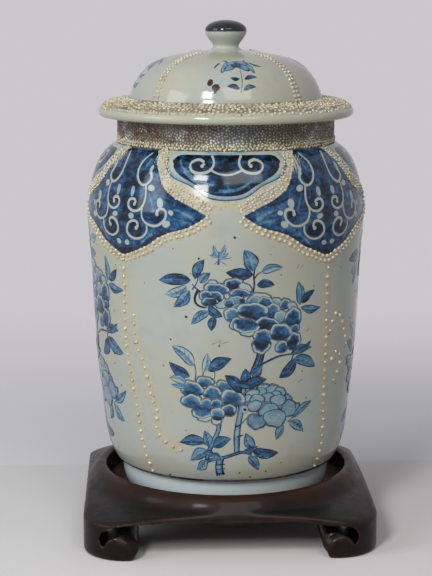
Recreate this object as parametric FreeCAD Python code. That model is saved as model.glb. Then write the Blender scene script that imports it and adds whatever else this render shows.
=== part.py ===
import FreeCAD
import Part
import math
import os

# A covered porcelain jar on a hardwood stand with scroll feet. Millimetres, +Z up.
# The origin is on the ground, under the centre of the stand. The camera side is -Y.

# Stand, outside: the slope reaches out from the rim, and a cant takes off each corner
rim_crest_height = 47.0
rim_width = 5.5
rim_rise = 1.8
slope_reach = 11.0
stand_cant_inset = 25.0
knee_drop = 2.5
apron_underside_height = 30.0
plan_corner_round = 40.0

# Points of the slope from the rim's shoulder to the knee: share of the way out, share of the way down.
slope_shares = [(0.274, 0.203), (0.623, 0.554)]

# Stand, seat for the jar: the recess is wider than the foot, the board wider than the recess
recess_foot_gap = 13.7
seat_board_lap = 6.0
seat_board_thickness = 7.0
seat_rabbet_depth = 1.5
seat_clearance = 0.3
seat_pin_count = 8
seat_pin_radius = 1.3
seat_pin_length = 13.0
seat_pin_head_inset = 0.4

# Stand, scroll legs
leg_span_x = 55.0
leg_span_y = 58.0
leg_side_waist_inset = 47.0
leg_side_arch_radius = 13.0
scroll_centre_inset = 36.0
scroll_half_width = 10.5
scroll_half_height = 9.6
scroll_neck_thickness = 17.0
scroll_throat_height = 14.0
scroll_groove_width = 1.6
scroll_arch_via_x_share = 0.42
scroll_arch_via_z_share = 0.83
tenon_inset_x = 25.0
tenon_inset_y = 43.0
tenon_length_x = 10.0
tenon_length_y = 16.0
tenon_height = 5.0
tenon_clearance = 0.15

# Jar, outside
jar_foot_radius = 79.0
jar_foot_bulge = 2.9
jar_foot_flare = 3.8
jar_foot_height = 14.0
jar_body_height = 274.3
jar_belly_radius = 108.9
jar_seam_height = 132.0

# Points of the thrown wall between the foot and the neck, from below:
# share of the belly radius, share of the body height.
jar_wall_shares = [
    (0.8081, 0.0828),
    (0.8595, 0.1294),
    (0.9027, 0.2388),
    (0.9412, 0.3908),
    (0.9633, 0.5231),
    (0.9768, 0.6690),
    (1.0000, 0.8075),
    (0.9578, 0.9060),
    (0.8724, 0.9734),
]

# Jar, wall and base
jar_wall = 6.0
jar_foot_ring_width = 8.0
jar_base_recess = 8.0
jar_floor_thickness = 8.0
jar_floor_corner = 6.0

# Jar, neck
neck_radius = 84.6
neck_wall = 6.0
neck_height = 21.6
neck_root_step = 1.7
neck_mouth_round = 2.0

# Lid, flange and dome
lid_flange_overhang = 15.4
lid_flange_edge_height = 7.4
lid_flange_edge_inset = 3.4
lid_flange_inner_height = 10.0
lid_cove_width = 4.5
lid_dome_inset = 4.6
lid_dome_foot_height = 13.3
lid_dome_height = 49.4
lid_crown_radius = 13.0
lid_wall = 5.5
lid_hollow_side_height = 13.0

# Points of the dome between its foot and the crown, from below:
# share of the dome radius, share of the dome height.
lid_dome_shares = [
    (0.9425, 0.3623),
    (0.8700, 0.5526),
    (0.7663, 0.7409),
    (0.6100, 0.8745),
    (0.4200, 0.9480),
    (0.2900, 0.9800),
]

# Lid, ring that drops inside the neck
lid_ring_clearance = 2.0
lid_ring_wall = 5.0
lid_ring_depth = 10.0
lid_ring_round = 1.5

# Lid, knob
knob_radius = 16.2
knob_height = 23.1
knob_widest_height_share = 0.66

# Points of the knob between its foot and its widest ring, from below:
# share of the knob's radius, share of its height.
knob_shares = [(0.61, 0.13), (0.71, 0.26), (0.86, 0.39), (0.97, 0.52)]

# Slip beads: rows of small domes raised on the glaze
bead_radius = 1.45
bead_seat_gap = 0.05
bead_pitch = 6.6
panel_count = 4
panel_turn_angle = 43.0
panel_line_foot_share = 0.130
lappet_tip_share = 0.713
lid_line_row_offset = 2.2
lid_line_ring_radius = 30.0

# Corners of half a lappet's bead border, from the tip up: share of the angle from one lappet's
# middle line to the next, share of the body height.
lappet_corner_shares = [(0.43, 0.840), (0.24, 0.908), (0.15, 0.980)]

# How finely a bead's place is searched: halvings of the outline, and trial places per side of a border.
bead_search_halvings = 40
bead_trial_count = 40

# Cuts run past the stock by this much.
overrun = 5.0

jar_foot_bulge_radius = jar_foot_radius + jar_foot_bulge
jar_foot_top_radius = jar_foot_radius + jar_foot_flare
recess_radius = jar_foot_top_radius + recess_foot_gap
seat_board_radius = recess_radius + seat_board_lap
stand_half_width = recess_radius + rim_width + slope_reach
stand_cant_half = stand_half_width - stand_cant_inset
knee_radius = (stand_half_width + stand_cant_half) / math.sqrt(2)
knee_height = apron_underside_height - knee_drop
stand_blank_radius = knee_radius + overrun
seat_pin_circle_radius = (recess_radius + seat_board_radius) / 2
seat_height = apron_underside_height + seat_rabbet_depth
jar_shoulder_top_radius = neck_radius + neck_root_step
lid_flange_radius = neck_radius + lid_flange_overhang
lid_dome_radius = neck_radius - lid_dome_inset
lid_flange_inner_radius = lid_dome_radius + lid_cove_width
lid_hollow_radius = neck_radius - neck_wall - lid_ring_clearance - lid_ring_wall
jar_neck_base_height = seat_height + jar_body_height
lid_seat_height = jar_neck_base_height + neck_height
lid_crown_height = lid_seat_height + lid_dome_height
knob_base_height = lid_crown_height

up = FreeCAD.Vector(0, 0, 1)


def point(r, z):
    """A point of a turned outline: its distance from the axis and its height."""
    return FreeCAD.Vector(r, 0, z)


class Outline:
    """A closed outline in the plane of the turning axis, drawn edge by edge."""

    def __init__(self, r, z):
        self.start = point(r, z)
        self.here = self.start
        self.edges = []

    def line(self, r, z):
        self.edges.append(Part.makeLine(self.here, point(r, z)))
        self.here = point(r, z)
        return self

    def arc(self, via_r, via_z, r, z):
        self.edges.append(Part.Arc(self.here, point(via_r, via_z), point(r, z)).toShape())
        self.here = point(r, z)
        return self

    def curve(self, points):
        spline = Part.BSplineCurve()
        spline.interpolate([self.here] + points)
        self.edges.append(spline.toShape())
        self.here = points[-1]
        return self

    def face(self):
        if self.here.distanceToPoint(self.start) > 0:
            self.line(self.start.x, self.start.z)
        return Part.Face(Part.Wire(self.edges))

    def turned(self):
        return self.face().revolve(FreeCAD.Vector(0, 0, 0), up, 360)


def box(x0, x1, y0, y1, z0, z1):
    """A block between two corners."""
    return Part.makeBox(x1 - x0, y1 - y0, z1 - z0, FreeCAD.Vector(x0, y0, z0))


def cylinder(radius, z0, z1, x=0, y=0):
    """An upright cylinder between two heights."""
    return Part.makeCylinder(radius, z1 - z0, FreeCAD.Vector(x, y, z0))


def below(height):
    """The space under a height, as a block wider than the whole object."""
    half = stand_blank_radius + overrun
    return box(-half, half, -half, half, -overrun, height)


def inward(outline_points, wall):
    """The points of a wall's inner face: each outer point moved in, square to the wall."""
    inner = []
    for before, here, after in zip(outline_points, outline_points[1:], outline_points[2:]):
        along = after - before
        along.normalize()
        inner.append(here + FreeCAD.Vector(-along.z, 0, along.x) * wall)
    return inner


def jar_wall_points():
    """The jar's outline from the top of its foot to the foot of its neck."""
    wall = [point(r * jar_belly_radius, seat_height + z * jar_body_height) for r, z in jar_wall_shares]
    foot_top = point(jar_foot_top_radius, seat_height + jar_foot_height)
    return [foot_top] + wall + [point(jar_shoulder_top_radius, jar_neck_base_height)]


def lid_dome_points():
    """The lid's outline from the foot of its dome to the crown."""
    base = lid_seat_height
    dome_foot = point(lid_dome_radius, base + lid_dome_foot_height)
    dome = [point(r * lid_dome_radius, base + z * lid_dome_height) for r, z in lid_dome_shares]
    return [dome_foot] + dome + [point(lid_crown_radius, lid_crown_height)]


def jar_shell():
    """The thrown wall, its floor and its foot ring, turned as one."""
    foot_top = seat_height + jar_foot_height
    outer = jar_wall_points()
    inner = inward(outer, jar_wall)
    neck_bore = neck_radius - neck_wall
    base_height = seat_height + jar_base_recess
    floor_height = base_height + jar_floor_thickness
    ring_radius = jar_foot_radius - jar_foot_ring_width
    half_foot = seat_height + jar_foot_height / 2
    outline = Outline(0, base_height)
    outline.line(ring_radius, base_height)
    outline.line(ring_radius, seat_height)
    outline.line(jar_foot_radius, seat_height)
    outline.arc(jar_foot_bulge_radius, half_foot, jar_foot_top_radius, foot_top)
    outline.curve(outer[1:])
    outline.line(neck_bore, jar_neck_base_height)
    outline.line(neck_bore, jar_neck_base_height - jar_wall)
    outline.curve(inner[::-1])
    outline.line(inner[0].x - jar_floor_corner, floor_height)
    outline.line(0, floor_height)
    return outline.turned()


def jar_lower_body():
    """The lower half of the jar, up to the seam where the two thrown halves meet."""
    return jar_shell().common(below(seat_height + jar_seam_height))


def jar_upper_body():
    """The upper half of the jar, from the seam to the foot of the neck."""
    return jar_shell().cut(below(seat_height + jar_seam_height))


def jar_neck():
    """The upright collar of the mouth, with a rounded lip that is flat where the lid rests."""
    bore = neck_radius - neck_wall
    round_base = lid_seat_height - neck_mouth_round
    bend = neck_mouth_round * (1 - math.sqrt(1 / 2))
    outline = Outline(bore, jar_neck_base_height)
    outline.line(neck_radius, jar_neck_base_height)
    outline.line(neck_radius, round_base)
    outline.arc(neck_radius - bend, lid_seat_height - bend, neck_radius - neck_mouth_round, lid_seat_height)
    outline.line(bore + neck_mouth_round, lid_seat_height)
    outline.arc(bore + bend, lid_seat_height - bend, bore, round_base)
    return outline.turned()


def lid_dome():
    """The lid's rolled flange and its hollow dome."""
    base = lid_seat_height
    edge_middle = base + lid_flange_edge_height / 2
    edge_top = base + lid_flange_edge_height
    edge_radius = lid_flange_radius - lid_flange_edge_inset
    outer = lid_dome_points()
    dome_foot = outer[0]
    inner = inward(outer, lid_wall)
    hollow_top = lid_crown_height - lid_wall
    outline = Outline(lid_hollow_radius, base)
    outline.line(edge_radius, base)
    outline.arc(lid_flange_radius, edge_middle, edge_radius, edge_top)
    outline.line(lid_flange_inner_radius, base + lid_flange_inner_height)
    outline.line(dome_foot.x, dome_foot.z)
    outline.curve(outer[1:])
    outline.line(0, lid_crown_height)
    outline.line(0, hollow_top)
    outline.line(inner[-1].x, inner[-1].z)
    outline.curve(inner[-2::-1])
    outline.line(lid_hollow_radius, base + lid_hollow_side_height)
    return outline.turned()


def lid_locating_ring():
    """The ring under the lid that keeps it central in the neck."""
    inner = lid_hollow_radius
    outer = inner + lid_ring_wall
    low = lid_seat_height - lid_ring_depth
    outline = Outline(inner, lid_seat_height)
    outline.line(inner, low + lid_ring_round)
    outline.line(inner + lid_ring_round, low)
    outline.line(outer - lid_ring_round, low)
    outline.line(outer, low + lid_ring_round)
    outline.line(outer, lid_seat_height)
    return outline.turned()


def lid_knob():
    """The solid knob, a waisted stem under a flattened bud."""
    base = knob_base_height
    widest = base + knob_height * knob_widest_height_share
    crown_height = knob_height * (1 - knob_widest_height_share)
    stem = [point(knob_radius * r, base + knob_height * z) for r, z in knob_shares]
    outline = Outline(0, base)
    outline.line(lid_crown_radius, base)
    outline.curve(stem + [point(knob_radius, widest)])
    outline.line(0, widest)
    crown = Part.makeSphere(knob_radius, point(0, 0), up, 0, 90, 360)
    squeeze = FreeCAD.Matrix()
    squeeze.scale(1, 1, crown_height / knob_radius)
    crown = crown.transformGeometry(squeeze)
    crown.translate(point(0, widest))
    return outline.turned().fuse(crown).removeSplitter()


def stand_block():
    """The carved outside of the stand before its legs are cut: a turned slope on a canted square."""
    shoulder = point(recess_radius + rim_width, rim_crest_height - rim_rise)
    knee = point(knee_radius, knee_height)
    slope = [point(shoulder.x + (knee.x - shoulder.x) * r, shoulder.z + (knee.z - shoulder.z) * z)
             for r, z in slope_shares]
    outline = Outline(0, 0)
    outline.line(stand_blank_radius, 0)
    outline.line(stand_blank_radius, knee_height - overrun)
    outline.curve([knee] + slope[::-1] + [shoulder])
    outline.arc(recess_radius + rim_width / 2, rim_crest_height, recess_radius, shoulder.z)
    outline.line(0, shoulder.z)
    a = stand_half_width
    b = stand_cant_half
    corners = [(a, -b), (a, b), (b, a), (-b, a), (-a, b), (-a, -b), (-b, -a), (b, -a), (a, -b)]
    plan = Part.Face(Part.makePolygon([FreeCAD.Vector(x, y, 0) for x, y in corners]))
    prism = plan.extrude(up * (rim_crest_height + overrun))
    upright = [edge for edge in prism.Edges if edge.BoundBox.ZLength > rim_crest_height]
    return outline.turned().common(prism.makeFillet(plan_corner_round, upright))


def seat_pin_places():
    """Where the pins of the seat board stand, on their circle."""
    turn = 2 * math.pi / seat_pin_count
    angles = [turn * (i + 0.5) for i in range(seat_pin_count)]
    return [(seat_pin_circle_radius * math.cos(a), seat_pin_circle_radius * math.sin(a)) for a in angles]


def seat_pin_span():
    """The heights of a seat pin's foot and tip."""
    foot = seat_height - seat_board_thickness + seat_pin_head_inset
    return foot, foot + seat_pin_length


def seat_pins():
    """The bamboo pins that hold the seat board up in its rabbet."""
    low, high = seat_pin_span()
    return Part.makeCompound([cylinder(seat_pin_radius, low, high, x, y) for x, y in seat_pin_places()])


def with_pin_holes(solid):
    """A piece with the holes of the seat pins."""
    low, high = seat_pin_span()
    for x, y in seat_pin_places():
        solid = solid.cut(cylinder(seat_pin_radius, low - overrun, high, x, y))
    return solid


def tenon(side_x, side_y, clearance):
    """One leg's tenon, or with a clearance the mortise for it."""
    half_x = tenon_length_x / 2 + clearance
    half_y = tenon_length_y / 2 + clearance
    x = side_x * (stand_half_width - tenon_inset_x)
    y = side_y * (stand_half_width - tenon_inset_y)
    low = apron_underside_height - (overrun if clearance else 0)
    high = apron_underside_height + tenon_height + clearance
    return box(x - half_x, x + half_x, y - half_y, y + half_y, low, high)


def leg_corners():
    """The four legs, as the signs of their X and Y."""
    return {"front_left": (-1, -1), "front_right": (1, -1), "back_left": (-1, 1), "back_right": (1, 1)}


def stand_top():
    """The top of the stand: rim, slopes and aprons, with the round recess and its rabbet."""
    low = apron_underside_height - overrun
    solid = stand_block().cut(below(apron_underside_height))
    solid = solid.cut(cylinder(recess_radius, low, rim_crest_height + overrun))
    solid = solid.cut(cylinder(seat_board_radius + seat_clearance, low, seat_height))
    for side_x, side_y in leg_corners().values():
        solid = solid.cut(tenon(side_x, side_y, tenon_clearance))
    return with_pin_holes(solid)


def stand_seat_board():
    """The round board that the jar stands on."""
    return with_pin_holes(cylinder(seat_board_radius, seat_height - seat_board_thickness, seat_height))


def leg_front_shape():
    """The right legs' outline seen from the front, with its inward scroll, as a face on Y = 0."""
    outer = stand_half_width
    inner = stand_half_width - leg_span_x
    throat = stand_half_width - scroll_neck_thickness
    roll = stand_half_width - scroll_centre_inset
    top = apron_underside_height
    groove = scroll_throat_height - scroll_groove_width
    via_x = inner + (throat - inner) * (1 - scroll_arch_via_x_share)
    via_z = scroll_throat_height + (top - scroll_throat_height) * scroll_arch_via_z_share
    blank = Outline(inner, 0).line(outer, 0).line(outer, top).line(inner, top).face()
    opening = Outline(inner, top)
    opening.curve([point(via_x, via_z), point(throat, scroll_throat_height)])
    opening.line(throat - scroll_groove_width / 2, groove)
    opening.line(roll, groove)
    opening.line(roll, 0)
    opening.line(inner, 0)
    centre = point(roll, scroll_half_height)
    end = point(roll + scroll_half_width, scroll_half_height)
    crest = point(roll, 2 * scroll_half_height)
    scroll = Part.Face(Part.Wire([Part.Ellipse(end, crest, centre).toShape()]))
    return blank.cut(opening.face()).fuse(scroll).removeSplitter()


def leg_side_shape():
    """The back legs' outline seen from the side, with the arch towards the leg in front."""
    outer = stand_half_width
    toe = stand_half_width - leg_span_y
    waist = stand_half_width - leg_side_waist_inset
    top = apron_underside_height
    radius = leg_side_arch_radius
    arch_foot = top - radius
    bend = radius * (1 - math.sqrt(1 / 2))
    shape = Outline(toe, 0)
    shape.line(outer, 0)
    shape.line(outer, top)
    shape.line(waist - radius, top)
    shape.arc(waist - bend, top - bend, waist, arch_foot)
    shape.arc((waist * 3 + toe) / 4, arch_foot / 2, toe, arch_foot / 4)
    face = shape.face()
    face.rotate(FreeCAD.Vector(0, 0, 0), up, 90)
    return face


def stand_leg(side_x, side_y):
    """One scroll leg with its tenon. Each leg is the same carving, mirrored to its corner."""
    reach = 2 * stand_blank_radius
    front = leg_front_shape().extrude(FreeCAD.Vector(0, reach, 0))
    side = leg_side_shape().extrude(FreeCAD.Vector(reach, 0, 0))
    solid = stand_block().common(below(apron_underside_height)).common(front).common(side)
    board_low = seat_height - seat_board_thickness - seat_clearance
    solid = solid.cut(cylinder(seat_board_radius + seat_clearance, board_low, seat_height))
    solid = solid.fuse(tenon(1, 1, 0)).removeSplitter()
    if side_x < 0:
        solid = solid.mirror(FreeCAD.Vector(0, 0, 0), FreeCAD.Vector(1, 0, 0))
    if side_y < 0:
        solid = solid.mirror(FreeCAD.Vector(0, 0, 0), FreeCAD.Vector(0, 1, 0))
    return solid


class BeadedSurface:
    """A turned surface with rows of small domes on it."""

    def __init__(self, outline_points):
        self.spline = Part.BSplineCurve()
        self.spline.interpolate(outline_points)
        self.domes = []

    def first(self, reached):
        """The lowest place on the outline, as the curve's parameter, where a test comes true."""
        low, high = self.spline.FirstParameter, self.spline.LastParameter
        for halving in range(bead_search_halvings):
            middle = (low + high) / 2
            if reached(self.spline.value(middle)):
                high = middle
            else:
                low = middle
        return low

    def place(self, angle, height):
        """The point and the outward direction at an angle from the front and a height."""
        low = self.first(lambda at: at.z >= height)
        at = self.spline.value(low)
        along = self.spline.tangent(low)[0]
        turn = FreeCAD.Rotation(up, angle - 90)
        return turn.multVec(at), turn.multVec(FreeCAD.Vector(along.z, 0, -along.x))

    def height_at(self, radius):
        """The height where the surface is this far from the axis."""
        return self.spline.value(self.first(lambda at: at.x <= radius)).z

    def bead(self, at, out):
        """One dome, its flat side just clear of the glaze."""
        self.domes.append(Part.makeSphere(bead_radius, at + out * bead_seat_gap, out, 0, 90, 360))

    def row(self, route, shift=0):
        """Domes one pitch apart along a route of angles and heights, moved sideways by a distance."""
        places = []
        for (angle_a, height_a), (angle_b, height_b) in zip(route, route[1:]):
            for step in range(bead_trial_count):
                t = step / bead_trial_count
                places.append((angle_a + (angle_b - angle_a) * t, height_a + (height_b - height_a) * t))
        last = None
        for angle, height in places:
            at, out = self.place(angle, height)
            side = up.cross(out)
            at = at + side.normalize() * shift
            if last is None or at.distanceToPoint(last) >= bead_pitch:
                self.bead(at, out)
                last = at


def panel_angles():
    """The middle lines of the lappets, in degrees from the front."""
    return [panel_turn_angle + 360 / panel_count * i for i in range(panel_count)]


def jar_slip_beads():
    """The bead borders of the lappets and the bead lines between the panels."""
    surface = BeadedSurface(jar_wall_points())
    foot = seat_height + jar_body_height * panel_line_foot_share
    tip = seat_height + jar_body_height * lappet_tip_share
    panel_angle = 360 / panel_count
    corners = [(panel_angle * a, seat_height + jar_body_height * z) for a, z in lappet_corner_shares]
    first_step = math.degrees(bead_pitch / jar_belly_radius)
    for middle in panel_angles():
        surface.row([(middle, foot), (middle, tip)])
        for side in (-1, 1):
            start = (middle + side * first_step, tip + bead_pitch)
            surface.row([start] + [(middle + side * a, z) for a, z in corners])
    return Part.makeCompound(surface.domes)


def lid_slip_beads():
    """The double bead lines down the dome and the ring of beads on the flange."""
    surface = BeadedSurface(lid_dome_points())
    low = lid_seat_height + lid_dome_foot_height + bead_pitch
    high = surface.height_at(lid_line_ring_radius)
    for middle in panel_angles():
        for side in (-1, 1):
            surface.row([(middle, low), (middle, high)], side * lid_line_row_offset)
    edge = point(lid_flange_radius - lid_flange_edge_inset, lid_seat_height + lid_flange_edge_height)
    inner = point(lid_flange_inner_radius, lid_seat_height + lid_flange_inner_height)
    at = (edge + inner) / 2
    out = FreeCAD.Vector(inner.z - edge.z, 0, edge.x - inner.x).normalize()
    count = int(2 * math.pi * at.x / bead_pitch)
    for i in range(count):
        turn = FreeCAD.Rotation(up, 360 / count * i)
        surface.bead(turn.multVec(at), turn.multVec(out))
    return Part.makeCompound(surface.domes)


def all_parts():
    """Every piece under the name of its file."""
    parts = {
        "jar_lower_body": jar_lower_body(),
        "jar_upper_body": jar_upper_body(),
        "jar_neck": jar_neck(),
        "lid_dome": lid_dome(),
        "lid_locating_ring": lid_locating_ring(),
        "lid_knob": lid_knob(),
        "jar_slip_beads": jar_slip_beads(),
        "lid_slip_beads": lid_slip_beads(),
        "stand_top": stand_top(),
        "stand_seat_board": stand_seat_board(),
        "stand_seat_pins": seat_pins(),
    }
    for corner, (side_x, side_y) in leg_corners().items():
        parts["stand_leg_" + corner] = stand_leg(side_x, side_y)
    return parts


def main():
    os.makedirs("parts", exist_ok=True)
    for name, shape in all_parts().items():
        span = shape.optimalBoundingBox()
        print(name, "solids", len(shape.Solids), "valid", shape.isValid(), "volume", round(shape.Volume),
              "z", round(span.ZMin, 2), round(span.ZMax, 2), "x", round(span.XMin, 2), round(span.XMax, 2))
        shape.exportStep(os.path.join("parts", name + ".step"))


main()
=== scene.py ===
"""A covered blue-and-white porcelain jar on a hardwood stand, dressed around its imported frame.

Tables are in millimetres. On the jar a place is given as (across, up): the arc to the right of the
photograph's middle line at the reference radius, and the height above the ground. On the lid's dome
the first value is in degrees and the second is the distance up the dome from its foot.
"""
import logging
import math
import random
from collections.abc import Callable
from dataclasses import dataclass, replace
from enum import Enum

import bmesh
import bpy
import numpy as np
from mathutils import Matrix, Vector


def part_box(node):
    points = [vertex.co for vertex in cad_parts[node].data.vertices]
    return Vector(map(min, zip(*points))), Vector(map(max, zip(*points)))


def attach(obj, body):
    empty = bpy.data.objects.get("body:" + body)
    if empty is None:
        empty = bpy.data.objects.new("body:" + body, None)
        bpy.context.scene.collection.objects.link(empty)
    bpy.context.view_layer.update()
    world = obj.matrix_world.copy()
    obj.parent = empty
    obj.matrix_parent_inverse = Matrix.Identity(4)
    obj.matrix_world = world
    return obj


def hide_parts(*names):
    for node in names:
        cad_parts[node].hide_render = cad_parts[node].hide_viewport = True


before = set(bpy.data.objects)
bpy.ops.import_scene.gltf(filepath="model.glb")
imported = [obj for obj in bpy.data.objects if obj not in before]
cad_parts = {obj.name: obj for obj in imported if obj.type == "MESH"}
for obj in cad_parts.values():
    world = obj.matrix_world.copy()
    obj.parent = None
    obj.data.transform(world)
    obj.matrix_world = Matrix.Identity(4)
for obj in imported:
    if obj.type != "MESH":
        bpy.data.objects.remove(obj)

LOG = logging.getLogger("covered_jar")
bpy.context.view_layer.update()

MM = 0.001
REFERENCE_RADIUS = 108.0
ARC_PER_DEGREE = math.radians(1.0) * REFERENCE_RADIUS
VIEW_TURN = -2.5
PANEL_ANGLES = (0.0, 90.0, 180.0, 270.0)

Point = tuple[float, float]
Colour = tuple[float, float, float, float]
Material = bpy.types.Material
Piece = bpy.types.Object
Socket = bpy.types.NodeSocket


def srgb(red: float, green: float, blue: float) -> Colour:
    """A colour given in 0 to 255 display values, as linear light."""
    def linear(value: float) -> float:
        """One channel."""
        share = value / 255.0
        return share / 12.92 if share <= 0.04045 else ((share + 0.055) / 1.055) ** 2.4
    return (linear(red), linear(green), linear(blue), 1.0)


def smooth_path(points: list[Point] | np.ndarray, count: int) -> np.ndarray:
    """A smooth curve through points.

    Args:
        points: The places to pass through, in order.
        count: How many evenly spread points to return.

    Returns:
        The curve's points, one per row.
    """
    knots = np.array(points, float)
    if len(knots) < 3:
        return np.linspace(knots[0], knots[-1], count)
    reach = np.concatenate([[0.0], np.cumsum(np.hypot(*np.diff(knots, axis=0).T))])
    span = np.diff(reach)
    system = np.eye(len(knots))
    load = np.zeros_like(knots)
    for i in range(1, len(knots) - 1):
        system[i, i - 1:i + 2] = span[i - 1], 2 * (span[i - 1] + span[i]), span[i]
        load[i] = 6 * ((knots[i + 1] - knots[i]) / span[i] - (knots[i] - knots[i - 1]) / span[i - 1])
    bend = np.linalg.solve(system, load)
    at = np.linspace(0.0, reach[-1], count)
    k = np.clip(np.searchsorted(reach, at, side="right") - 1, 0, len(span) - 1)
    a = ((reach[k + 1] - at) / span[k])[:, None]
    b = 1 - a
    straight = a * knots[k] + b * knots[k + 1]
    return straight + ((a ** 3 - a) * bend[k] + (b ** 3 - b) * bend[k + 1]) * (span[k] ** 2)[:, None] / 6


def path_length(points: tuple | list) -> float:
    """The length along a row of points."""
    return float(np.hypot(*np.diff(np.array(points, float), axis=0).T).sum())


def path_sides(points: np.ndarray) -> np.ndarray:
    """The unit direction to the left of a path at each of its points."""
    along = np.gradient(points, axis=0)
    along /= np.maximum(np.linalg.norm(along, axis=1), 1e-9)[:, None]
    return np.stack([-along[:, 1], along[:, 0]], axis=1)


def soften(points: list[Point], radius: float, steps: int = 4, sharp: float = 28.0) -> list[Point]:
    """Round the sharp corners of an outline.

    Args:
        points: The outline's corners.
        radius: How far a round may reach along its sides.
        steps: Segments in each round.
        sharp: The least turn in degrees that is rounded.

    Returns:
        The outline with its rounds.
    """
    result = [points[0]]
    for corner in zip(points, points[1:], points[2:]):
        before, here, after = (np.array(v, float) for v in corner)
        back, ahead = before - here, after - here
        reach_back, reach_ahead = np.linalg.norm(back), np.linalg.norm(ahead)
        turn = math.pi - math.acos(np.clip(back @ ahead / (reach_back * reach_ahead), -1, 1))
        if turn < math.radians(sharp):
            result.append((here[0], here[1]))
            continue
        cut = min(radius, 0.45 * reach_back, 0.45 * reach_ahead)
        start, end = here + back / reach_back * cut, here + ahead / reach_ahead * cut
        for t in (step / steps for step in range(steps + 1)):
            place = start * (1 - t) ** 2 + here * 2 * t * (1 - t) + end * t ** 2
            result.append((place[0], place[1]))
    return result + [points[-1]]


def mirrored(points: tuple | list, middle: float) -> list[Point]:
    """Points reflected across an upright line, in the reverse order."""
    return [(2 * middle - x, y) for x, y in reversed(points)]


class TurnedSurface:
    """The outer face of a turned piece, which painting and beads are laid on."""

    def __init__(self, outline: np.ndarray, by_height: bool) -> None:
        """Keep an outline that runs upwards, found by height or by the distance along it."""
        self.radius, self.height = outline.T
        rise = np.gradient(outline, axis=0)
        rise /= np.linalg.norm(rise, axis=1)[:, None]
        self.out_radius, self.out_height = rise[:, 1], -rise[:, 0]
        steps = np.hypot(np.diff(self.radius), np.diff(self.height))
        self.key = self.height if by_height else np.concatenate([[0.0], np.cumsum(steps)])

    def place(self, angle: np.ndarray, up: np.ndarray, lift: float) -> np.ndarray:
        """Points on the surface.

        Args:
            angle: Degrees to the right of the front.
            up: Heights, or distances along the outline.
            lift: Millimetres outwards.

        Returns:
            The points in metres, one per row.
        """
        turn, up = np.radians(np.ravel(angle)), np.ravel(up)
        radius = np.interp(up, self.key, self.radius) + np.interp(up, self.key, self.out_radius) * lift
        height = np.interp(up, self.key, self.height) + np.interp(up, self.key, self.out_height) * lift
        return np.stack([radius * np.sin(turn), -radius * np.cos(turn), height], axis=1) * MM

    def out(self, angle: np.ndarray, up: np.ndarray) -> np.ndarray:
        """The outward directions at places on the surface."""
        there = self.place(angle, up, 1.0) - self.place(angle, up, 0.0)
        return there / np.linalg.norm(there, axis=1)[:, None]


def linked(name: str, data: bpy.types.ID) -> Piece:
    """A new object at the origin, linked to the scene."""
    piece = bpy.data.objects.new(name, data)
    bpy.context.scene.collection.objects.link(piece)
    return piece


def new_piece(name: str, vertices: np.ndarray | list, faces: list, materials: list) -> Piece:
    """Make a smooth-shaded mesh object at the origin.

    Args:
        name: The piece's name.
        vertices: Points in metres.
        faces: Corner indices of each face.
        materials: The piece's materials, first slot first.

    Returns:
        The new object.
    """
    mesh = bpy.data.meshes.new(name)
    mesh.from_pydata([tuple(v) for v in np.asarray(vertices).tolist()], [], faces)
    mesh.shade_smooth()
    mesh.set_sharp_from_angle(angle=math.radians(50))
    for material in materials:
        mesh.materials.append(material)
    mesh.validate()
    return linked(name, mesh)


def turned_piece(name: str, outline: list[Point], materials: list[Material], segments: int) -> Piece:
    """Turn a closed outline round the Z axis.

    Args:
        name: The piece's name.
        outline: Radius and height of each corner, with the outer face running upwards. It either
            starts and ends on the axis, or closes on itself.
        materials: The piece's materials.
        segments: Facets round the axis.

    Returns:
        The turned object, closed, with its faces outwards.
    """
    turn = np.linspace(0.0, 2 * math.pi, segments, endpoint=False)
    vertices: list = []
    rings: list[list[int]] = []
    for radius, height in outline:
        start = len(vertices)
        angles = turn[:1] if radius == 0.0 else turn
        vertices += [(radius * math.sin(a) * MM, -radius * math.cos(a) * MM, height * MM) for a in angles]
        rings.append([start + (j if radius else 0) for j in range(segments)])
    pairs = list(zip(rings, rings[1:]))
    if outline[0][0] != 0.0:
        pairs.append((rings[-1], rings[0]))
    faces = []
    for low, high in pairs:
        for j in range(segments):
            k = (j + 1) % segments
            faces.append(tuple(dict.fromkeys([low[j], low[k], high[k], high[j]])))
    return new_piece(name, vertices, [f for f in faces if len(f) > 2], materials)


def joined(name: str, pieces: list[Piece]) -> Piece:
    """Join objects that sit at the origin into the first, and name it."""
    with bpy.context.temp_override(active_object=pieces[0], selected_editable_objects=pieces):
        bpy.ops.object.join()
    pieces[0].name = name
    return pieces[0]


def reworked(name: str, source: bpy.types.Mesh,
             change: Callable[[bmesh.types.BMesh], object]) -> bpy.types.Mesh:
    """A changed copy of a mesh.

    Args:
        name: The copy's name.
        source: The mesh, which stays as it is.
        change: What is done to the copy.

    Returns:
        The copy.
    """
    work = bmesh.new()
    work.from_mesh(source)
    change(work)
    mesh = bpy.data.meshes.new(name)
    work.to_mesh(mesh)
    work.free()
    return mesh


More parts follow.
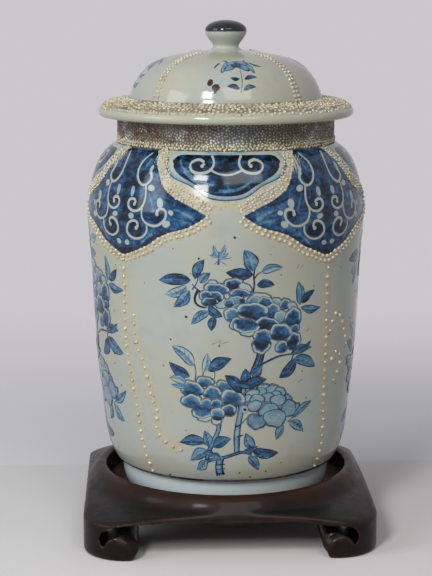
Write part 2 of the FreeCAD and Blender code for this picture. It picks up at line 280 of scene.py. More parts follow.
class NodeTools:
    """Short calls that add nodes to a tree of any kind."""

    def __init__(self, tree: bpy.types.NodeTree) -> None:
        """Keep the tree."""
        self.tree = tree

    def set(self, socket: Socket, value: object) -> None:
        """Link a socket to another, or give it a plain value."""
        if isinstance(value, Socket):
            self.tree.links.new(value, socket)
        elif value is not None:
            socket.default_value = value

    def add(self, kind: str, inputs: dict | None = None, **options: object) -> bpy.types.Node:
        """Add a node.

        Args:
            kind: Its type.
            inputs: A socket or a plain value for its inputs, by name or number.
            options: Its own settings.

        Returns:
            The node.
        """
        node = self.tree.nodes.new(kind)
        for name, value in options.items():
            setattr(node, name, value)
        for key, value in (inputs or {}).items():
            self.set(node.inputs[key], value)
        return node

    def math(self, operation: str, first: object, second: object = None) -> Socket:
        """One sum."""
        return self.add("ShaderNodeMath", {0: first, 1: second}, operation=operation).outputs[0]

    def times(self, first: object, second: object) -> Socket:
        """One product."""
        return self.math("MULTIPLY", first, second)

    def seen(self) -> Socket:
        """1 where the camera, a reflection or a refraction looks, and 0 for all other light."""
        rays = self.add("ShaderNodeLightPath").outputs
        either = self.math("MAXIMUM", rays["Is Glossy Ray"], rays["Is Transmission Ray"])
        return self.math("MAXIMUM", rays["Is Camera Ray"], either)


class Graph(NodeTools):
    """The node graph of one material."""

    def __init__(self, name: str) -> None:
        """Start a material that holds only its output and its shader."""
        self.material = bpy.data.materials.new(name)
        self.material.use_nodes = True
        super().__init__(self.material.node_tree)
        self.tree.nodes.clear()
        self.shader = self.add("ShaderNodeBsdfPrincipled")
        self.output = self.add("ShaderNodeOutputMaterial", {0: self.shader.outputs[0]})
        self.coordinates = self.add("ShaderNodeTexCoord").outputs["Object"]

    def gloss(self, **values: object) -> None:
        """Set the shader's own sockets, named with underscores for blanks."""
        for name, value in values.items():
            self.set(self.shader.inputs[name.replace("_", " ")], value)

    def noise(self, size: float, detail: float = 3.0, roughness: float = 0.55,
              stretch: tuple[float, float, float] = (1.0, 1.0, 1.0), seed: float = 0.0) -> Socket:
        """A cloud pattern.

        Args:
            size: The width of its blotches in millimetres.
            detail: Levels of finer cloud.
            roughness: How strong those are.
            stretch: How much longer the blotches are along each axis.
            seed: A shift that makes the pattern another one.

        Returns:
            The socket of the pattern, from 0 to 1.
        """
        scale = 1.0 / (size * MM)
        place = self.add("ShaderNodeMapping", {
            "Location": (seed, seed * 0.7, seed * 1.3), "Scale": tuple(scale / s for s in stretch),
            "Vector": self.coordinates})
        return self.add("ShaderNodeTexNoise", {"Scale": 1.0, "Detail": detail, "Roughness": roughness,
                                               "Vector": place.outputs[0]}).outputs["Fac"]

    def axis(self, which: str) -> Socket:
        """One coordinate of the place being shaded, in metres."""
        return self.add("ShaderNodeSeparateXYZ", {0: self.coordinates}).outputs[which]

    def squared_distance(self) -> Socket:
        """The square of the distance from the Z axis, in square metres."""
        across, along = self.axis("X"), self.axis("Y")
        return self.math("ADD", self.times(across, across), self.times(along, along))

    def attribute(self, name: str) -> Socket:
        """A value stored on the mesh."""
        return self.add("ShaderNodeAttribute", attribute_name=name).outputs["Fac"]

    def ramp(self, value: Socket, low: float, high: float, start: float = 0.0, end: float = 1.0) -> Socket:
        """Carry a value smoothly from start to end as it goes from low to high."""
        return self.add("ShaderNodeMapRange", {
            "Value": value, "From Min": low, "From Max": high, "To Min": start, "To Max": end},
            interpolation_type="SMOOTHSTEP").outputs["Result"]

    def mix(self, first: object, second: object, share: object) -> Socket:
        """Mix two colours, none of the second at 0 and only the second at 1."""
        return self.add("ShaderNodeMix", {0: share, 6: first, 7: second}, data_type="RGBA").outputs[2]

    def steps(self, value: Socket, stops: list[tuple[float, Colour]]) -> Socket:
        """Colours along a value."""
        node = self.add("ShaderNodeValToRGB", {0: value})
        ramp = node.color_ramp
        while len(ramp.elements) < len(stops):
            ramp.elements.new(0.5)
        for element, (position, colour) in zip(ramp.elements, stops):
            element.position = position
            element.color = colour
        return node.outputs[0]

    def relief(self, height: Socket, depth: float, strength: float = 1.0,
               under: Socket | None = None) -> Socket:
        """Raise and sink the surface.

        Args:
            height: The pattern of heights.
            depth: Millimetres between its 0 and its 1.
            strength: How much of it shows.
            under: A relief that this one lies on.

        Returns:
            The normal's socket.
        """
        return self.add("ShaderNodeBump", {"Distance": depth * MM, "Strength": strength, "Height": height,
                                           "Normal": under}).outputs[0]

    def glaze(self) -> Socket:
        """The uneven blue-grey to cream glaze, the same wherever it is asked for on the object."""
        cloud = self.ramp(self.noise(70.0, 4.0), 0.35, 0.68)
        colour = self.mix(srgb(180, 187, 181), srgb(190, 188, 170), cloud)
        grey = self.ramp(self.noise(26.0, 5.0, 0.6, seed=9.0), 0.52, 0.78, 0.0, 0.5)
        return self.mix(colour, srgb(166, 171, 165), grey)

    def glaze_relief(self) -> Socket:
        """The throwing rings and the orange-peel skin of the glaze."""
        rings = self.relief(self.noise(9.0, 2.0, 0.5, stretch=(14.0, 14.0, 1.0)), 0.35, 0.5)
        waves = self.relief(self.noise(16.0, 1.0, 0.5, seed=3.0), 0.4, 0.45, rings)
        return self.relief(self.noise(0.9, 2.0), 0.02, 0.5, waves)


IRON_BROWN = srgb(72, 48, 30)


@dataclass(frozen=True)
class Finish:
    """A finish of the object: its name, and in each kind how its shader is set."""
    name: str

    def build(self) -> Material:
        """The finished material."""
        graph = Graph(self.name)
        self.colour(graph)
        return graph.material

    def colour(self, graph: Graph) -> None:
        """Set the shader's colour, roughness and relief."""
        raise NotImplementedError


@dataclass(frozen=True)
class GlazeFinish(Finish):
    """Clear glaze over porcelain, with iron specks and, where asked for, painted lines, stains and a foot
    paled partly by painted light.
    """
    line_heights: tuple[Point, ...] = ()
    stain_height: float | None = None
    blue_above: float | None = None
    brown_between: Point | None = None
    # Height below which the foot turns pale bluish white: partly clearer glaze, partly painted light.
    clear_and_lit_foot_below: float | None = None

    def colour(self, graph: Graph) -> None:
        """Set the shader."""
        colour, height = graph.glaze(), graph.axis("Z")
        cells = graph.add("ShaderNodeTexVoronoi", {
            "Scale": 1.0 / (11.0 * MM), "Vector": graph.coordinates}).outputs
        speck = graph.times(graph.ramp(cells["Distance"], 0.02, 0.055, 1.0, 0.0),
                            graph.ramp(cells["Color"], 0.72, 0.78))
        colour = graph.mix(colour, IRON_BROWN, graph.times(speck, 0.7))
        if self.stain_height is not None:
            near = graph.ramp(height, (self.stain_height - 26) * MM, (self.stain_height - 2) * MM)
            blotch = graph.ramp(graph.noise(14.0, 6.0, 0.65, seed=4.0), 0.42, 0.7, 0.0, 0.5)
            colour = graph.mix(colour, srgb(176, 152, 116), graph.times(near, blotch))
        if self.brown_between is not None:
            low, high = self.brown_between
            band = graph.times(graph.ramp(height, low * MM, (low + 0.5) * MM),
                               graph.ramp(height, (high - 0.4) * MM, (high + 0.3) * MM, 1.0, 0.0))
            patch = graph.ramp(graph.noise(16.0, 4.0), 0.48, 0.62)
            gap = graph.mix(srgb(146, 132, 100), srgb(104, 74, 50), patch)
            under = graph.ramp(height, (low - 1) * MM, low * MM, 0.8, 0.0)
            colour = graph.mix(colour, srgb(190, 188, 166), under)
            colour = graph.mix(colour, gap, graph.times(band, 0.85))
        for middle, width in self.line_heights:
            waver = graph.times(graph.noise(60.0, 1.0, seed=6.0), 2.2 * MM)
            off = graph.math("SUBTRACT", graph.math("ADD", height, waver), (middle + 1.1) * MM)
            line = graph.ramp(graph.math("ABSOLUTE", off), width * 0.3 * MM, width * 0.75 * MM, 1.0, 0.0)
            wash = graph.ramp(graph.noise(12.0, 3.0, seed=7.0), 0.3, 0.6, 0.6, 1.0)
            if width < 1:
                wash = graph.times(wash, graph.ramp(graph.axis("X"), -0.02, 0.0, 1.0, 0.0))
            colour = graph.mix(colour, srgb(30, 42, 52), graph.times(line, wash))
        if self.blue_above is not None:
            up = graph.math("ADD", height, graph.times(graph.noise(7.0, 2.0), 1.4 * MM))
            cap = graph.ramp(up, (self.blue_above - 0.4) * MM, (self.blue_above + 1.0) * MM)
            pool = graph.mix(srgb(14, 24, 32), srgb(36, 56, 66), graph.ramp(graph.noise(6.0), 0.35, 0.8))
            colour = graph.mix(colour, pool, cap)
        # Pale bluish foot: partly the foot's clearer glaze, partly painted light that stands in for light on
        # the foot.
        if self.clear_and_lit_foot_below is not None:
            foot = graph.ramp(height, (self.clear_and_lit_foot_below - 1.0) * MM, (self.clear_and_lit_foot_below + 0.5) * MM, 0.85, 0.0)
            colour = graph.mix(colour, srgb(220, 231, 233), foot)
        graph.gloss(Base_Color=colour, Roughness=graph.ramp(graph.noise(8.0), 0.2, 0.8, 0.06, 0.12),
                    IOR=1.46, Normal=graph.glaze_relief())


class CobaltFinish(Finish):
    """Cobalt painted under the glaze: the mesh says how dense, brush marks and pooling vary it."""

    def colour(self, graph: Graph) -> None:
        """Set the shader."""
        brush = graph.ramp(graph.noise(5.0, 5.0, 0.65, stretch=(1.5, 1.5, 1.0)), 0.3, 0.7, 0.62, 1.28)
        fine = graph.ramp(graph.noise(1.3, 3.0, 0.6, seed=2.0), 0.3, 0.7, 0.88, 1.12)
        density = graph.times(graph.times(graph.attribute("cobalt"), brush), fine)
        wash = graph.steps(density, [
            (0.0, srgb(178, 192, 190)), (0.22, srgb(126, 159, 173)), (0.45, srgb(64, 113, 147)),
            (0.66, srgb(24, 72, 115)), (0.85, srgb(9, 41, 70)), (1.0, srgb(3, 15, 26))])
        colour = graph.mix(graph.glaze(), wash, graph.ramp(density, 0.0, 0.2))
        graph.gloss(Base_Color=colour, Roughness=0.09, IOR=1.46, Normal=graph.glaze_relief())


class CreamFinish(Finish):
    """The cream that surrounds the slip beads: the mesh says how strong, stains vary it."""

    def colour(self, graph: Graph) -> None:
        """Set the shader."""
        cloud = graph.ramp(graph.noise(6.0, 5.0, 0.65, seed=4.0), 0.3, 0.7, 0.45, 1.15)
        share = graph.math("MINIMUM", graph.times(graph.attribute("cobalt"), cloud), 1.0)
        colour = graph.mix(graph.glaze(), srgb(204, 189, 152), share)
        stain = graph.ramp(graph.noise(3.2, 5.0, 0.7, seed=12.0), 0.5, 0.66, 0.0, 0.75)
        colour = graph.mix(colour, srgb(138, 116, 80), graph.times(stain, share))
        graph.gloss(Base_Color=colour, Roughness=0.2, IOR=1.5, Normal=graph.glaze_relief())


@dataclass(frozen=True)
class SlipFinish(Finish):
    """Trailed slip under the glaze, its two tones mixed in random patches, with random stain blotches."""
    crest: Colour
    hollow: Colour
    stain: Colour
    stain_share: float

    def colour(self, graph: Graph) -> None:
        """Set the shader."""
        colour = graph.mix(self.crest, self.hollow, graph.ramp(graph.noise(5.0, 3.0), 0.42, 0.68))
        blotch = graph.ramp(graph.noise(22.0, 5.0, 0.65, seed=5.0), 0.46, 0.64, 0.0, self.stain_share)
        graph.gloss(Base_Color=graph.mix(colour, self.stain, blotch), Roughness=0.14, IOR=1.5,
                    Normal=graph.relief(graph.noise(1.2, 3.0), 0.08, 0.6))


@dataclass(frozen=True)
class NeckFinish(Finish):
    """The collar's mottled body: rust on the left, blue-grey in the middle, ochre on the right."""
    # Scales every colour: 0.8 on the collar, 1.6 on its beads, whose lighter copy is partly paler slip,
    # partly painted light on their tops.
    light: float

    def tone(self, red: float, green: float, blue: float) -> Colour:
        """A colour scaled by the piece's light factor; the beads' lighter copy is partly paler slip and
        partly painted light.
        """
        return srgb(*(min(channel * self.light, 255) for channel in (red, green, blue)))

    def colour(self, graph: Graph) -> None:
        """Set the shader."""
        tone, side = self.tone, graph.axis("X")
        colour = graph.steps(graph.ramp(side, -0.075, 0.078), [
            (0.0, tone(96, 84, 66)), (0.3, tone(122, 116, 102)), (0.55, tone(118, 124, 128)),
            (0.75, tone(112, 110, 98)), (1.0, tone(96, 94, 74))])
        cloud = graph.ramp(graph.noise(10.0, 5.0, 0.65, seed=2.5), 0.36, 0.64)
        colour = graph.mix(graph.mix(colour, tone(72, 68, 60), 0.55), colour, cloud)
        pale = graph.ramp(graph.noise(13.0, 4.0, 0.6, seed=5.5), 0.52, 0.66, 0.0, 0.7)
        colour = graph.mix(colour, tone(158, 160, 158), pale)
        rust = graph.ramp(graph.noise(9.0, 6.0, 0.75, seed=8.4), 0.5, 0.6, 0.0, 0.95)
        left = graph.ramp(side, -0.055, -0.015, 1.0, 0.12)
        colour = graph.mix(colour, tone(78, 42, 22), graph.times(rust, left))
        low = graph.ramp(graph.axis("Z"), 0.3075, 0.316, 0.85, 0.0)
        blotch = graph.ramp(graph.noise(8.0, 4.0, 0.6, seed=6.5), 0.4, 0.58, 0.15, 1.0)
        colour = graph.mix(colour, tone(196, 178, 144), graph.times(low, blotch))
        graph.gloss(Base_Color=colour, Roughness=0.3, IOR=1.5,
                    Normal=graph.relief(graph.noise(1.6, 4.0, 0.6), 0.3, 0.8))


class BisqueFinish(Finish):
    """Bare fired porcelain with kiln dust and an orange flush."""

    def colour(self, graph: Graph) -> None:
        """Set the shader."""
        flush = graph.ramp(graph.noise(18.0, 4.0), 0.45, 0.7, 0.0, 0.7)
        colour = graph.mix(srgb(204, 196, 182), srgb(182, 148, 116), flush)
        colour = graph.mix(colour, IRON_BROWN, graph.ramp(graph.noise(2.2, 3.0), 0.66, 0.74, 0.0, 0.5))
        graph.gloss(Base_Color=colour, Roughness=0.75, Normal=graph.relief(graph.noise(0.8, 4.0), 0.12, 0.7))


class IronFinish(Finish):
    """Iron-brown spots in the glaze."""

    def colour(self, graph: Graph) -> None:
        """Set the shader."""
        cloud = graph.ramp(graph.noise(1.6, 3.0), 0.45, 0.65)
        graph.gloss(Base_Color=graph.mix(srgb(30, 20, 14), srgb(88, 50, 26), cloud), Roughness=0.25,
                    Normal=graph.glaze_relief())


@dataclass(frozen=True)
class WoodFinish(Finish):
    """Oiled wood with long grain, open pores and edges rubbed lighter."""
    dark: Colour
    light: Colour
    rubbed: Colour
    grain: tuple[float, float, float]
    roughness: tuple[float, float]
    rim: Colour | None = None
    polish: float = 0.1

    def colour(self, graph: Graph) -> None:
        """Set the shader."""
        figure = graph.noise(7.0, 5.0, 0.6, stretch=self.grain)
        colour = graph.mix(self.dark, self.light, graph.ramp(figure, 0.38, 0.72))
        shade = graph.ramp(graph.noise(45.0, 3.0, seed=1.0), 0.4, 0.7, 0.0, 0.5)
        colour = graph.mix(colour, self.dark, shade)
        worn = graph.times(graph.attribute("wear"), graph.ramp(graph.noise(9.0, 5.0), 0.3, 0.6))
        colour = graph.mix(colour, self.rubbed, worn)
        pores = graph.noise(0.9, 3.0, 0.6, stretch=tuple(s * 1.4 for s in self.grain), seed=2.0)
        if self.rim is not None:
            out = graph.math("SQRT", graph.squared_distance())
            near = graph.times(graph.ramp(out, 0.094, 0.098), graph.ramp(out, 0.101, 0.115, 1.0, 0.0))
            near = graph.times(near, graph.ramp(graph.noise(20.0, 3.0, seed=5.0), 0.3, 0.6, 0.35, 1.0))
            colour = graph.mix(colour, self.rim, near)
        graph.gloss(Base_Color=colour, IOR=1.22, Coat_Weight=self.polish, Coat_Roughness=0.1,
                    Roughness=graph.ramp(graph.noise(12.0, 5.0, 0.65), 0.3, 0.7, *self.roughness),
                    Normal=graph.relief(graph.ramp(pores, 0.35, 0.6), 0.1, 0.4,
                                        graph.relief(figure, 0.3, 0.4)))


class Ink(Enum):
    """What a painted shape is made of, as its slot in the painting's materials."""
    COBALT = 0
    IRON = 1
    CREAM = 2


@dataclass(frozen=True)
class Leaf:
    """A leaf from its stalk to its tip, with its width and how dense its wash is."""
    base: Point
    tip: Point
    width: float
    wash: float
    bow: float = 0.08


@dataclass(frozen=True)
class Petal:
    """A petal with a domed edge: its middle, half sizes, wash and lean in degrees.

    It is dark with a white edge, or else pale with a dark line round it.
    """
    middle: Point
    half_wide: float
    half_high: float
    wash: float
    lean: float = 0.0
    lined: bool = False


@dataclass(frozen=True)
class Stroke:
    """A brush stroke through points, with its width at the start and the end."""
    points: tuple[Point, ...]
    start_width: float
    end_width: float
    wash: float
    outlined: bool = False


@dataclass(frozen=True)
class Spot:
    """A filled spot: its middle, half sizes and wash."""
    middle: Point
    half_wide: float
    half_high: float
    wash: float


Shape = Leaf | Petal | Stroke | Spot


def shapes(kind: type, places: int, rows: tuple, **same: object) -> tuple[Shape, ...]:
    """Shapes of one kind from rows of plain numbers.

    Args:
        kind: What they are.
        places: How many places a row starts with, two numbers each.
        rows: The places, and then the kind's other values in their order.
        same: Values that all of them share.

    Returns:
        The shapes.
    """
    return tuple(kind(*(row[2 * i:2 * i + 2] for i in range(places)), *row[2 * places:], **same)
                 for row in rows)


def strokes(rows: tuple) -> tuple[Stroke, ...]:
    """Strokes from rows of their points, two widths, wash and, for a branch, True."""
    return tuple(Stroke(*row) for row in rows)


def moved(shape: Shape, place: Callable[[Point], Point], wide: float = 1.0) -> Shape:
    """The same shape somewhere else.

    Args:
        shape: The shape.
        place: Says where each of its places goes.
        wide: How much wider a petal or a spot gets.

    Returns:
        The moved shape.
    """
    if isinstance(shape, Leaf):
        return replace(shape, base=place(shape.base), tip=place(shape.tip))
    if isinstance(shape, Stroke):
        return replace(shape, points=tuple(map(place, shape.points)))
    return replace(shape, middle=place(shape.middle), half_wide=shape.half_wide * wide)


class Painting:
    """Painted shapes as thin closed wafers on a turned surface, gathered into one mesh.

    A wafer lies one step above the highest that it overlaps.
    """

    CELL = 2.6
    SUNK = 0.05
    FIRST_LIFT = 0.06
    LIFT_STEP = 0.016
    OVERLAP = 1.12

    def __init__(self, name: str, surface: TurnedSurface, seed: int) -> None:
        """Start an empty painting."""
        self.name, self.surface, self.random = name, surface, random.Random(seed)
        self.vertices: list[np.ndarray] = []
        self.faces: list[tuple[int, ...]] = []
        self.inks: list[int] = []
        self.tones: list[np.ndarray] = []
        self.boxes: list[tuple[np.ndarray, np.ndarray, float]] = []
        self.count = 0

    def frame_panel(self, index: int, foot: float = 0.0, stretch: float = 1.0) -> None:
        """Turn to a panel, and say how its heights stretch above its foot."""
        self.turn, self.foot, self.stretch = VIEW_TURN + PANEL_ANGLES[index], foot, stretch
        self.boxes.clear()

    def cover(self, left: float, right: float, lift: float) -> None:
        """Say that everything between two places across is covered up to a lift."""
        self.boxes.append((np.array([left, 0.0]), np.array([right, 400.0]), lift))

    def lay(self, grid: np.ndarray, tone: np.ndarray, ring: bool = False, ink: Ink = Ink.COBALT,
            lift: float | None = None) -> None:
        """Lay one wafer.

        Args:
            grid: Places across and up, shaped rows by columns by 2.
            tone: How dense the wash is at each place.
            ring: Whether the columns go round a middle.
            ink: What it is painted with.
            lift: How far it lies off the glaze, or None to lie on what it overlaps.
        """
        low, high = grid.min(axis=(0, 1)), grid.max(axis=(0, 1))
        if lift is None:
            under = [at for left, right, at in self.boxes if (left < high).all() and (right > low).all()]
            lift = max(under, default=self.FIRST_LIFT - self.LIFT_STEP) + self.LIFT_STEP
            self.boxes.append((low, high, lift))
        middle = grid.shape[0] // 2
        across = grid[0, 1] - grid[0, 0] if ring else grid[middle, -1] - grid[middle, 0]
        along = grid[1, 0] - grid[0, 0] if ring else grid[-1, 0] - grid[0, 0]
        if across[0] * along[1] - across[1] * along[0] < 0:
            grid, tone = grid[:, ::-1], tone[:, ::-1]
        angle = self.turn + grid[..., 0] / ARC_PER_DEGREE
        up = self.foot + (grid[..., 1] - self.foot) * self.stretch
        self.vertices += [self.surface.place(angle, up, lift), self.surface.place(angle, up, -self.SUNK)]
        self.tones += [np.ravel(tone), np.ravel(tone)]
        size = grid.shape[0] * grid.shape[1]
        index = np.arange(size).reshape(grid.shape[:2]) + self.count
        if ring:
            index = np.concatenate([index, index[:, :1]], axis=1)
        quads = np.stack([index[:-1, :-1], index[:-1, 1:], index[1:, 1:], index[1:, :-1]], axis=-1)
        faces = [tuple(q) for q in quads.reshape(-1, 4).tolist()]
        if ring:
            faces.append(tuple(index[0, :-1][::-1].tolist()))
            edge = index[-1][::-1].tolist()
        else:
            edge = (index[0].tolist() + index[1:, -1].tolist() + index[-1, -2::-1].tolist()
                    + index[-2::-1, 0].tolist())
        faces += [tuple(i + size for i in reversed(f)) for f in faces]
        faces += [(a + size, b + size, b, a) for a, b in zip(edge, edge[1:])]
        self.faces += faces
        self.inks += [ink.value] * len(faces)
        self.count += 2 * size

    def lay_rings(self, middle: Point, shares: list[float], outer: np.ndarray, tone: float,
                  ink: Ink = Ink.COBALT) -> None:
        """Lay a filled shape from its outline about its middle, in rings at shares of its size."""
        grid = np.array(middle) + np.array(shares)[:, None, None] * outer[None, :, :]
        self.lay(grid, np.full(grid.shape[:2], tone), ring=True, ink=ink)

    def lay_strip(self, path: np.ndarray, half: np.ndarray, side: np.ndarray, spread: np.ndarray,
                  tones: np.ndarray, ink: Ink = Ink.COBALT, lift: float | None = None) -> None:
        """Lay a strip along a path: half widths, sideways directions, columns and their tones."""
        grid = path[:, None, :] + (half[:, None] * spread[None, :])[..., None] * side
        self.lay(grid, tones, ink=ink, lift=lift)

    def paint(self, shapes_in_order: tuple | list) -> None:
        """Paint shapes of any kind, in order."""
        ways = {Leaf: self.leaf, Petal: self.petal, Spot: self.dot, Stroke: self.stroke}
        for shape in shapes_in_order:
            ways[type(shape)](shape)

    def leaf(self, leaf: Leaf) -> None:
        """Paint a pointed leaf with an outline, a midrib and, where it is pale, side veins."""
        base, tip, wash = np.array(leaf.base, float), np.array(leaf.tip, float), leaf.wash
        reach = np.linalg.norm(tip - base)
        side = np.array([-(tip - base)[1], (tip - base)[0]]) / reach
        bow = leaf.bow * reach * self.random.choice((-1, 1))
        t = np.linspace(0.0, 1.0, max(7, int(reach / self.CELL) + 3))
        half = leaf.width / 2 * np.maximum(np.sin(np.pi * t ** 0.82) ** 0.8, 0.05)
        half *= 1 + 0.06 * np.sin(t * 9 + self.random.uniform(0, 6))
        spread = np.array([-1.0, -0.86, -0.7, -0.42, -0.14, 0.0, 0.14, 0.42, 0.7, 0.86, 1.0])
        line = min(1.0, max(0.74, wash + 0.16))
        rib = wash + (0.36 if wash < 0.6 else -0.34)
        light, shade = wash - 0.16, self.random.choice((-1, 1)) * 0.14
        tones = np.array([line, line, light, wash + shade, wash + shade, rib, wash - shade, wash - shade,
                          light, line, line])
        fade = 1 - 0.22 * np.sin(t * math.pi)[:, None] * (np.abs(spread) < 0.8)[None, :]
        middle = base + np.outer(t, tip - base) + np.outer(np.sin(np.pi * t) * bow, side)
        self.lay_strip(middle, half, side, spread, np.clip(tones[None, :] * fade, 0.0, 1.0))
        if leaf.width < 7.5:
            return
        tone = wash + 0.36 if wash < 0.6 else wash - 0.3
        for share in (0.28, 0.48, 0.68):
            root = base + (tip - base) * share + side * math.sin(math.pi * share) * bow
            for way in (-1, 1):
                end = root + (tip - base) / reach * leaf.width * 0.24 + side * way * leaf.width * 0.28
                self.stroke(Stroke((tuple(root), tuple(end)), 0.55, 0.3, tone))

    def petal_edge(self, petal: Petal, grown: float = 0.0) -> tuple[np.ndarray, np.ndarray]:
        """The ruffled outline of a petal about its middle, and the sine of each of its angles."""
        turn = np.linspace(0.0, 2 * math.pi, 32, endpoint=False)
        wave = petal.middle[0] * 1.7 + petal.middle[1]
        rise = np.sin(turn)
        ruffle = (1 + 0.075 * np.maximum(rise, -0.2) * np.cos(6 * turn + wave)
                  + 0.055 * np.cos(3 * turn + wave))
        x = np.cos(turn) * (petal.half_wide * ruffle + grown)
        y = rise * (petal.half_high * ruffle + grown) * np.where(rise < 0, 0.82, 1.0)
        c, s = math.cos(math.radians(petal.lean)), math.sin(math.radians(petal.lean))
        return np.stack([x * c - y * s, x * s + y * c], axis=1), rise

    def petal(self, petal: Petal) -> None:
        """Paint a petal."""
        outer, rise = self.petal_edge(petal)
        small = min(petal.half_wide, petal.half_high)
        if petal.lined:
            line = 1.0 - 0.6 / small
            shares = np.array([0.05, 0.4, 0.62, line - 0.03, line, 1.0])[:, None]
            tones = petal.wash * (0.8 + 0.25 * shares) - 0.1 * petal.wash * shares * rise[None, :]
            tones[-2:] = 0.78
        else:
            line = 1.0 - 0.32 / small
            shares = np.array([0.05, 0.4, 0.66, 0.78, 0.86, line - 0.03, line - 0.02, line, 1.0])[:, None]
            tones = petal.wash * (1.1 - 0.48 * (shares * rise[None, :] + 1) / 2)
            domed = np.clip((rise + 0.5) / 0.5, 0.0, 1.0)[None, :]
            edge = np.interp(shares, [0.5, 0.66, 0.78, 0.86], [0.0, 0.25, 0.8, 1.0]) * domed
            tones = tones * (1 - edge) + 0.03 * edge
            tones[-2:] = 0.62 + 0.2 * petal.wash
        grid = np.array(petal.middle) + shares[..., None] * outer[None, :, :]
        self.lay(grid, np.clip(tones, 0.0, 1.0), ring=True)

    def bloom(self, petals: tuple[Petal, ...], depth: float) -> None:
        """Paint overlapping petals, in a deeper or paler wash, with one dark line round them all."""
        petals = tuple(replace(p, half_wide=p.half_wide * self.OVERLAP, half_high=p.half_high * self.OVERLAP,
                               wash=p.wash * depth) for p in petals)
        for grown, tone in ((0.75, 0.9), (0.2, 0.1)):
            for petal in petals:
                self.lay_rings(petal.middle, [0.3, 1.0], self.petal_edge(petal, grown)[0], tone)
        self.paint(petals)

    def stroke(self, stroke: Stroke, ink: Ink = Ink.COBALT, lift: float | None = None) -> None:
        """Paint a tapered stroke, plain or as an outlined branch, or a strip of cream with soft edges."""
        length = path_length(stroke.points)
        path = smooth_path(list(stroke.points), max(4, int(length / self.CELL * 1.3) + 2))
        t = np.linspace(0.0, 1.0, len(path))
        half = (stroke.start_width + (stroke.end_width - stroke.start_width) * t) / 2
        half *= 1 + 0.08 * np.sin(t * length / 5 + self.random.uniform(0, 6))
        wash = stroke.wash
        spread, tones = np.array([-1.0, 0.0, 1.0]), np.full(3, wash)
        if stroke.outlined:
            line = min(1.0, wash + 0.44)
            spread = np.array([-1.0, -0.7, -0.54, 0.0, 0.54, 0.7, 1.0])
            tones = np.array([line, line, wash, wash - 0.14, wash + 0.1, line, line])
        elif ink is Ink.CREAM:
            spread = np.array([-1.0, -0.55, 0.0, 0.55, 1.0])
            tones = wash * np.array([0.0, 0.4, 1.0, 0.4, 0.0])
        self.lay_strip(path, half, path_sides(path)[:, None, :], spread,
                       np.repeat(tones[None, :], len(path), axis=0), ink, lift)

    def dot(self, spot: Spot, ink: Ink = Ink.COBALT) -> None:
        """Paint a filled spot."""
        turn = np.linspace(0.0, 2 * math.pi, 12, endpoint=False)
        lobes = 1 + 0.1 * np.cos(2 * turn + self.random.uniform(0, 6))
        oval = np.stack([np.cos(turn) * spot.half_wide, np.sin(turn) * spot.half_high], axis=1)
        self.lay_rings(spot.middle, [0.1, 0.6, 1.0], oval * lobes[:, None], spot.wash, ink)

    def ground(self, lower: list[Point], upper: list[Point], tone: float, lift: float, ink: Ink = Ink.COBALT,
               fading: float = 0.0) -> None:
        """Fill the space between two lines that run from left to right, darker at the edge.

        Args:
            lower: The line below.
            upper: The line above.
            tone: How dense the wash is inside.
            lift: How far the fill lies off the glaze.
            ink: What it is painted with.
            fading: How much paler it is at both sides.
        """
        low, high = smooth_path(lower, 300), smooth_path(upper, 300)
        left, right = max(low[0, 0], high[0, 0]), min(low[-1, 0], high[-1, 0])
        x = np.linspace(left, right, max(4, int((right - left) / self.CELL) + 1))
        bottom = np.interp(x, low[:, 0], low[:, 1])
        top = np.maximum(np.interp(x, high[:, 0], high[:, 1]), bottom + 0.15)
        rows = max(6, int((top - bottom).max() / self.CELL) + 1)
        y = bottom[None, :] + (top - bottom)[None, :] * np.linspace(0.0, 1.0, rows)[:, None]
        grid = np.stack([np.repeat(x[None, :], rows, axis=0), y], axis=-1)
        edge = np.minimum(np.minimum(y - bottom[None, :], top[None, :] - y), 5.0) / 5.0
        away = np.abs(2 * x - left - right) / (right - left)
        self.lay(grid, np.clip(tone - fading * away[None, :] + 0.24 * (1 - edge), 0, 1), ink=ink, lift=lift)

    def finish(self, materials: list[Material]) -> Piece:
        """The painting as one piece, with a material for each ink."""
        piece = new_piece(self.name, np.concatenate(self.vertices), self.faces, materials)
        piece.data.polygons.foreach_set("material_index", self.inks)
        layer = piece.data.attributes.new("cobalt", "FLOAT", "POINT")
        layer.data.foreach_set("value", np.concatenate(self.tones).astype(np.float32))
        return piece


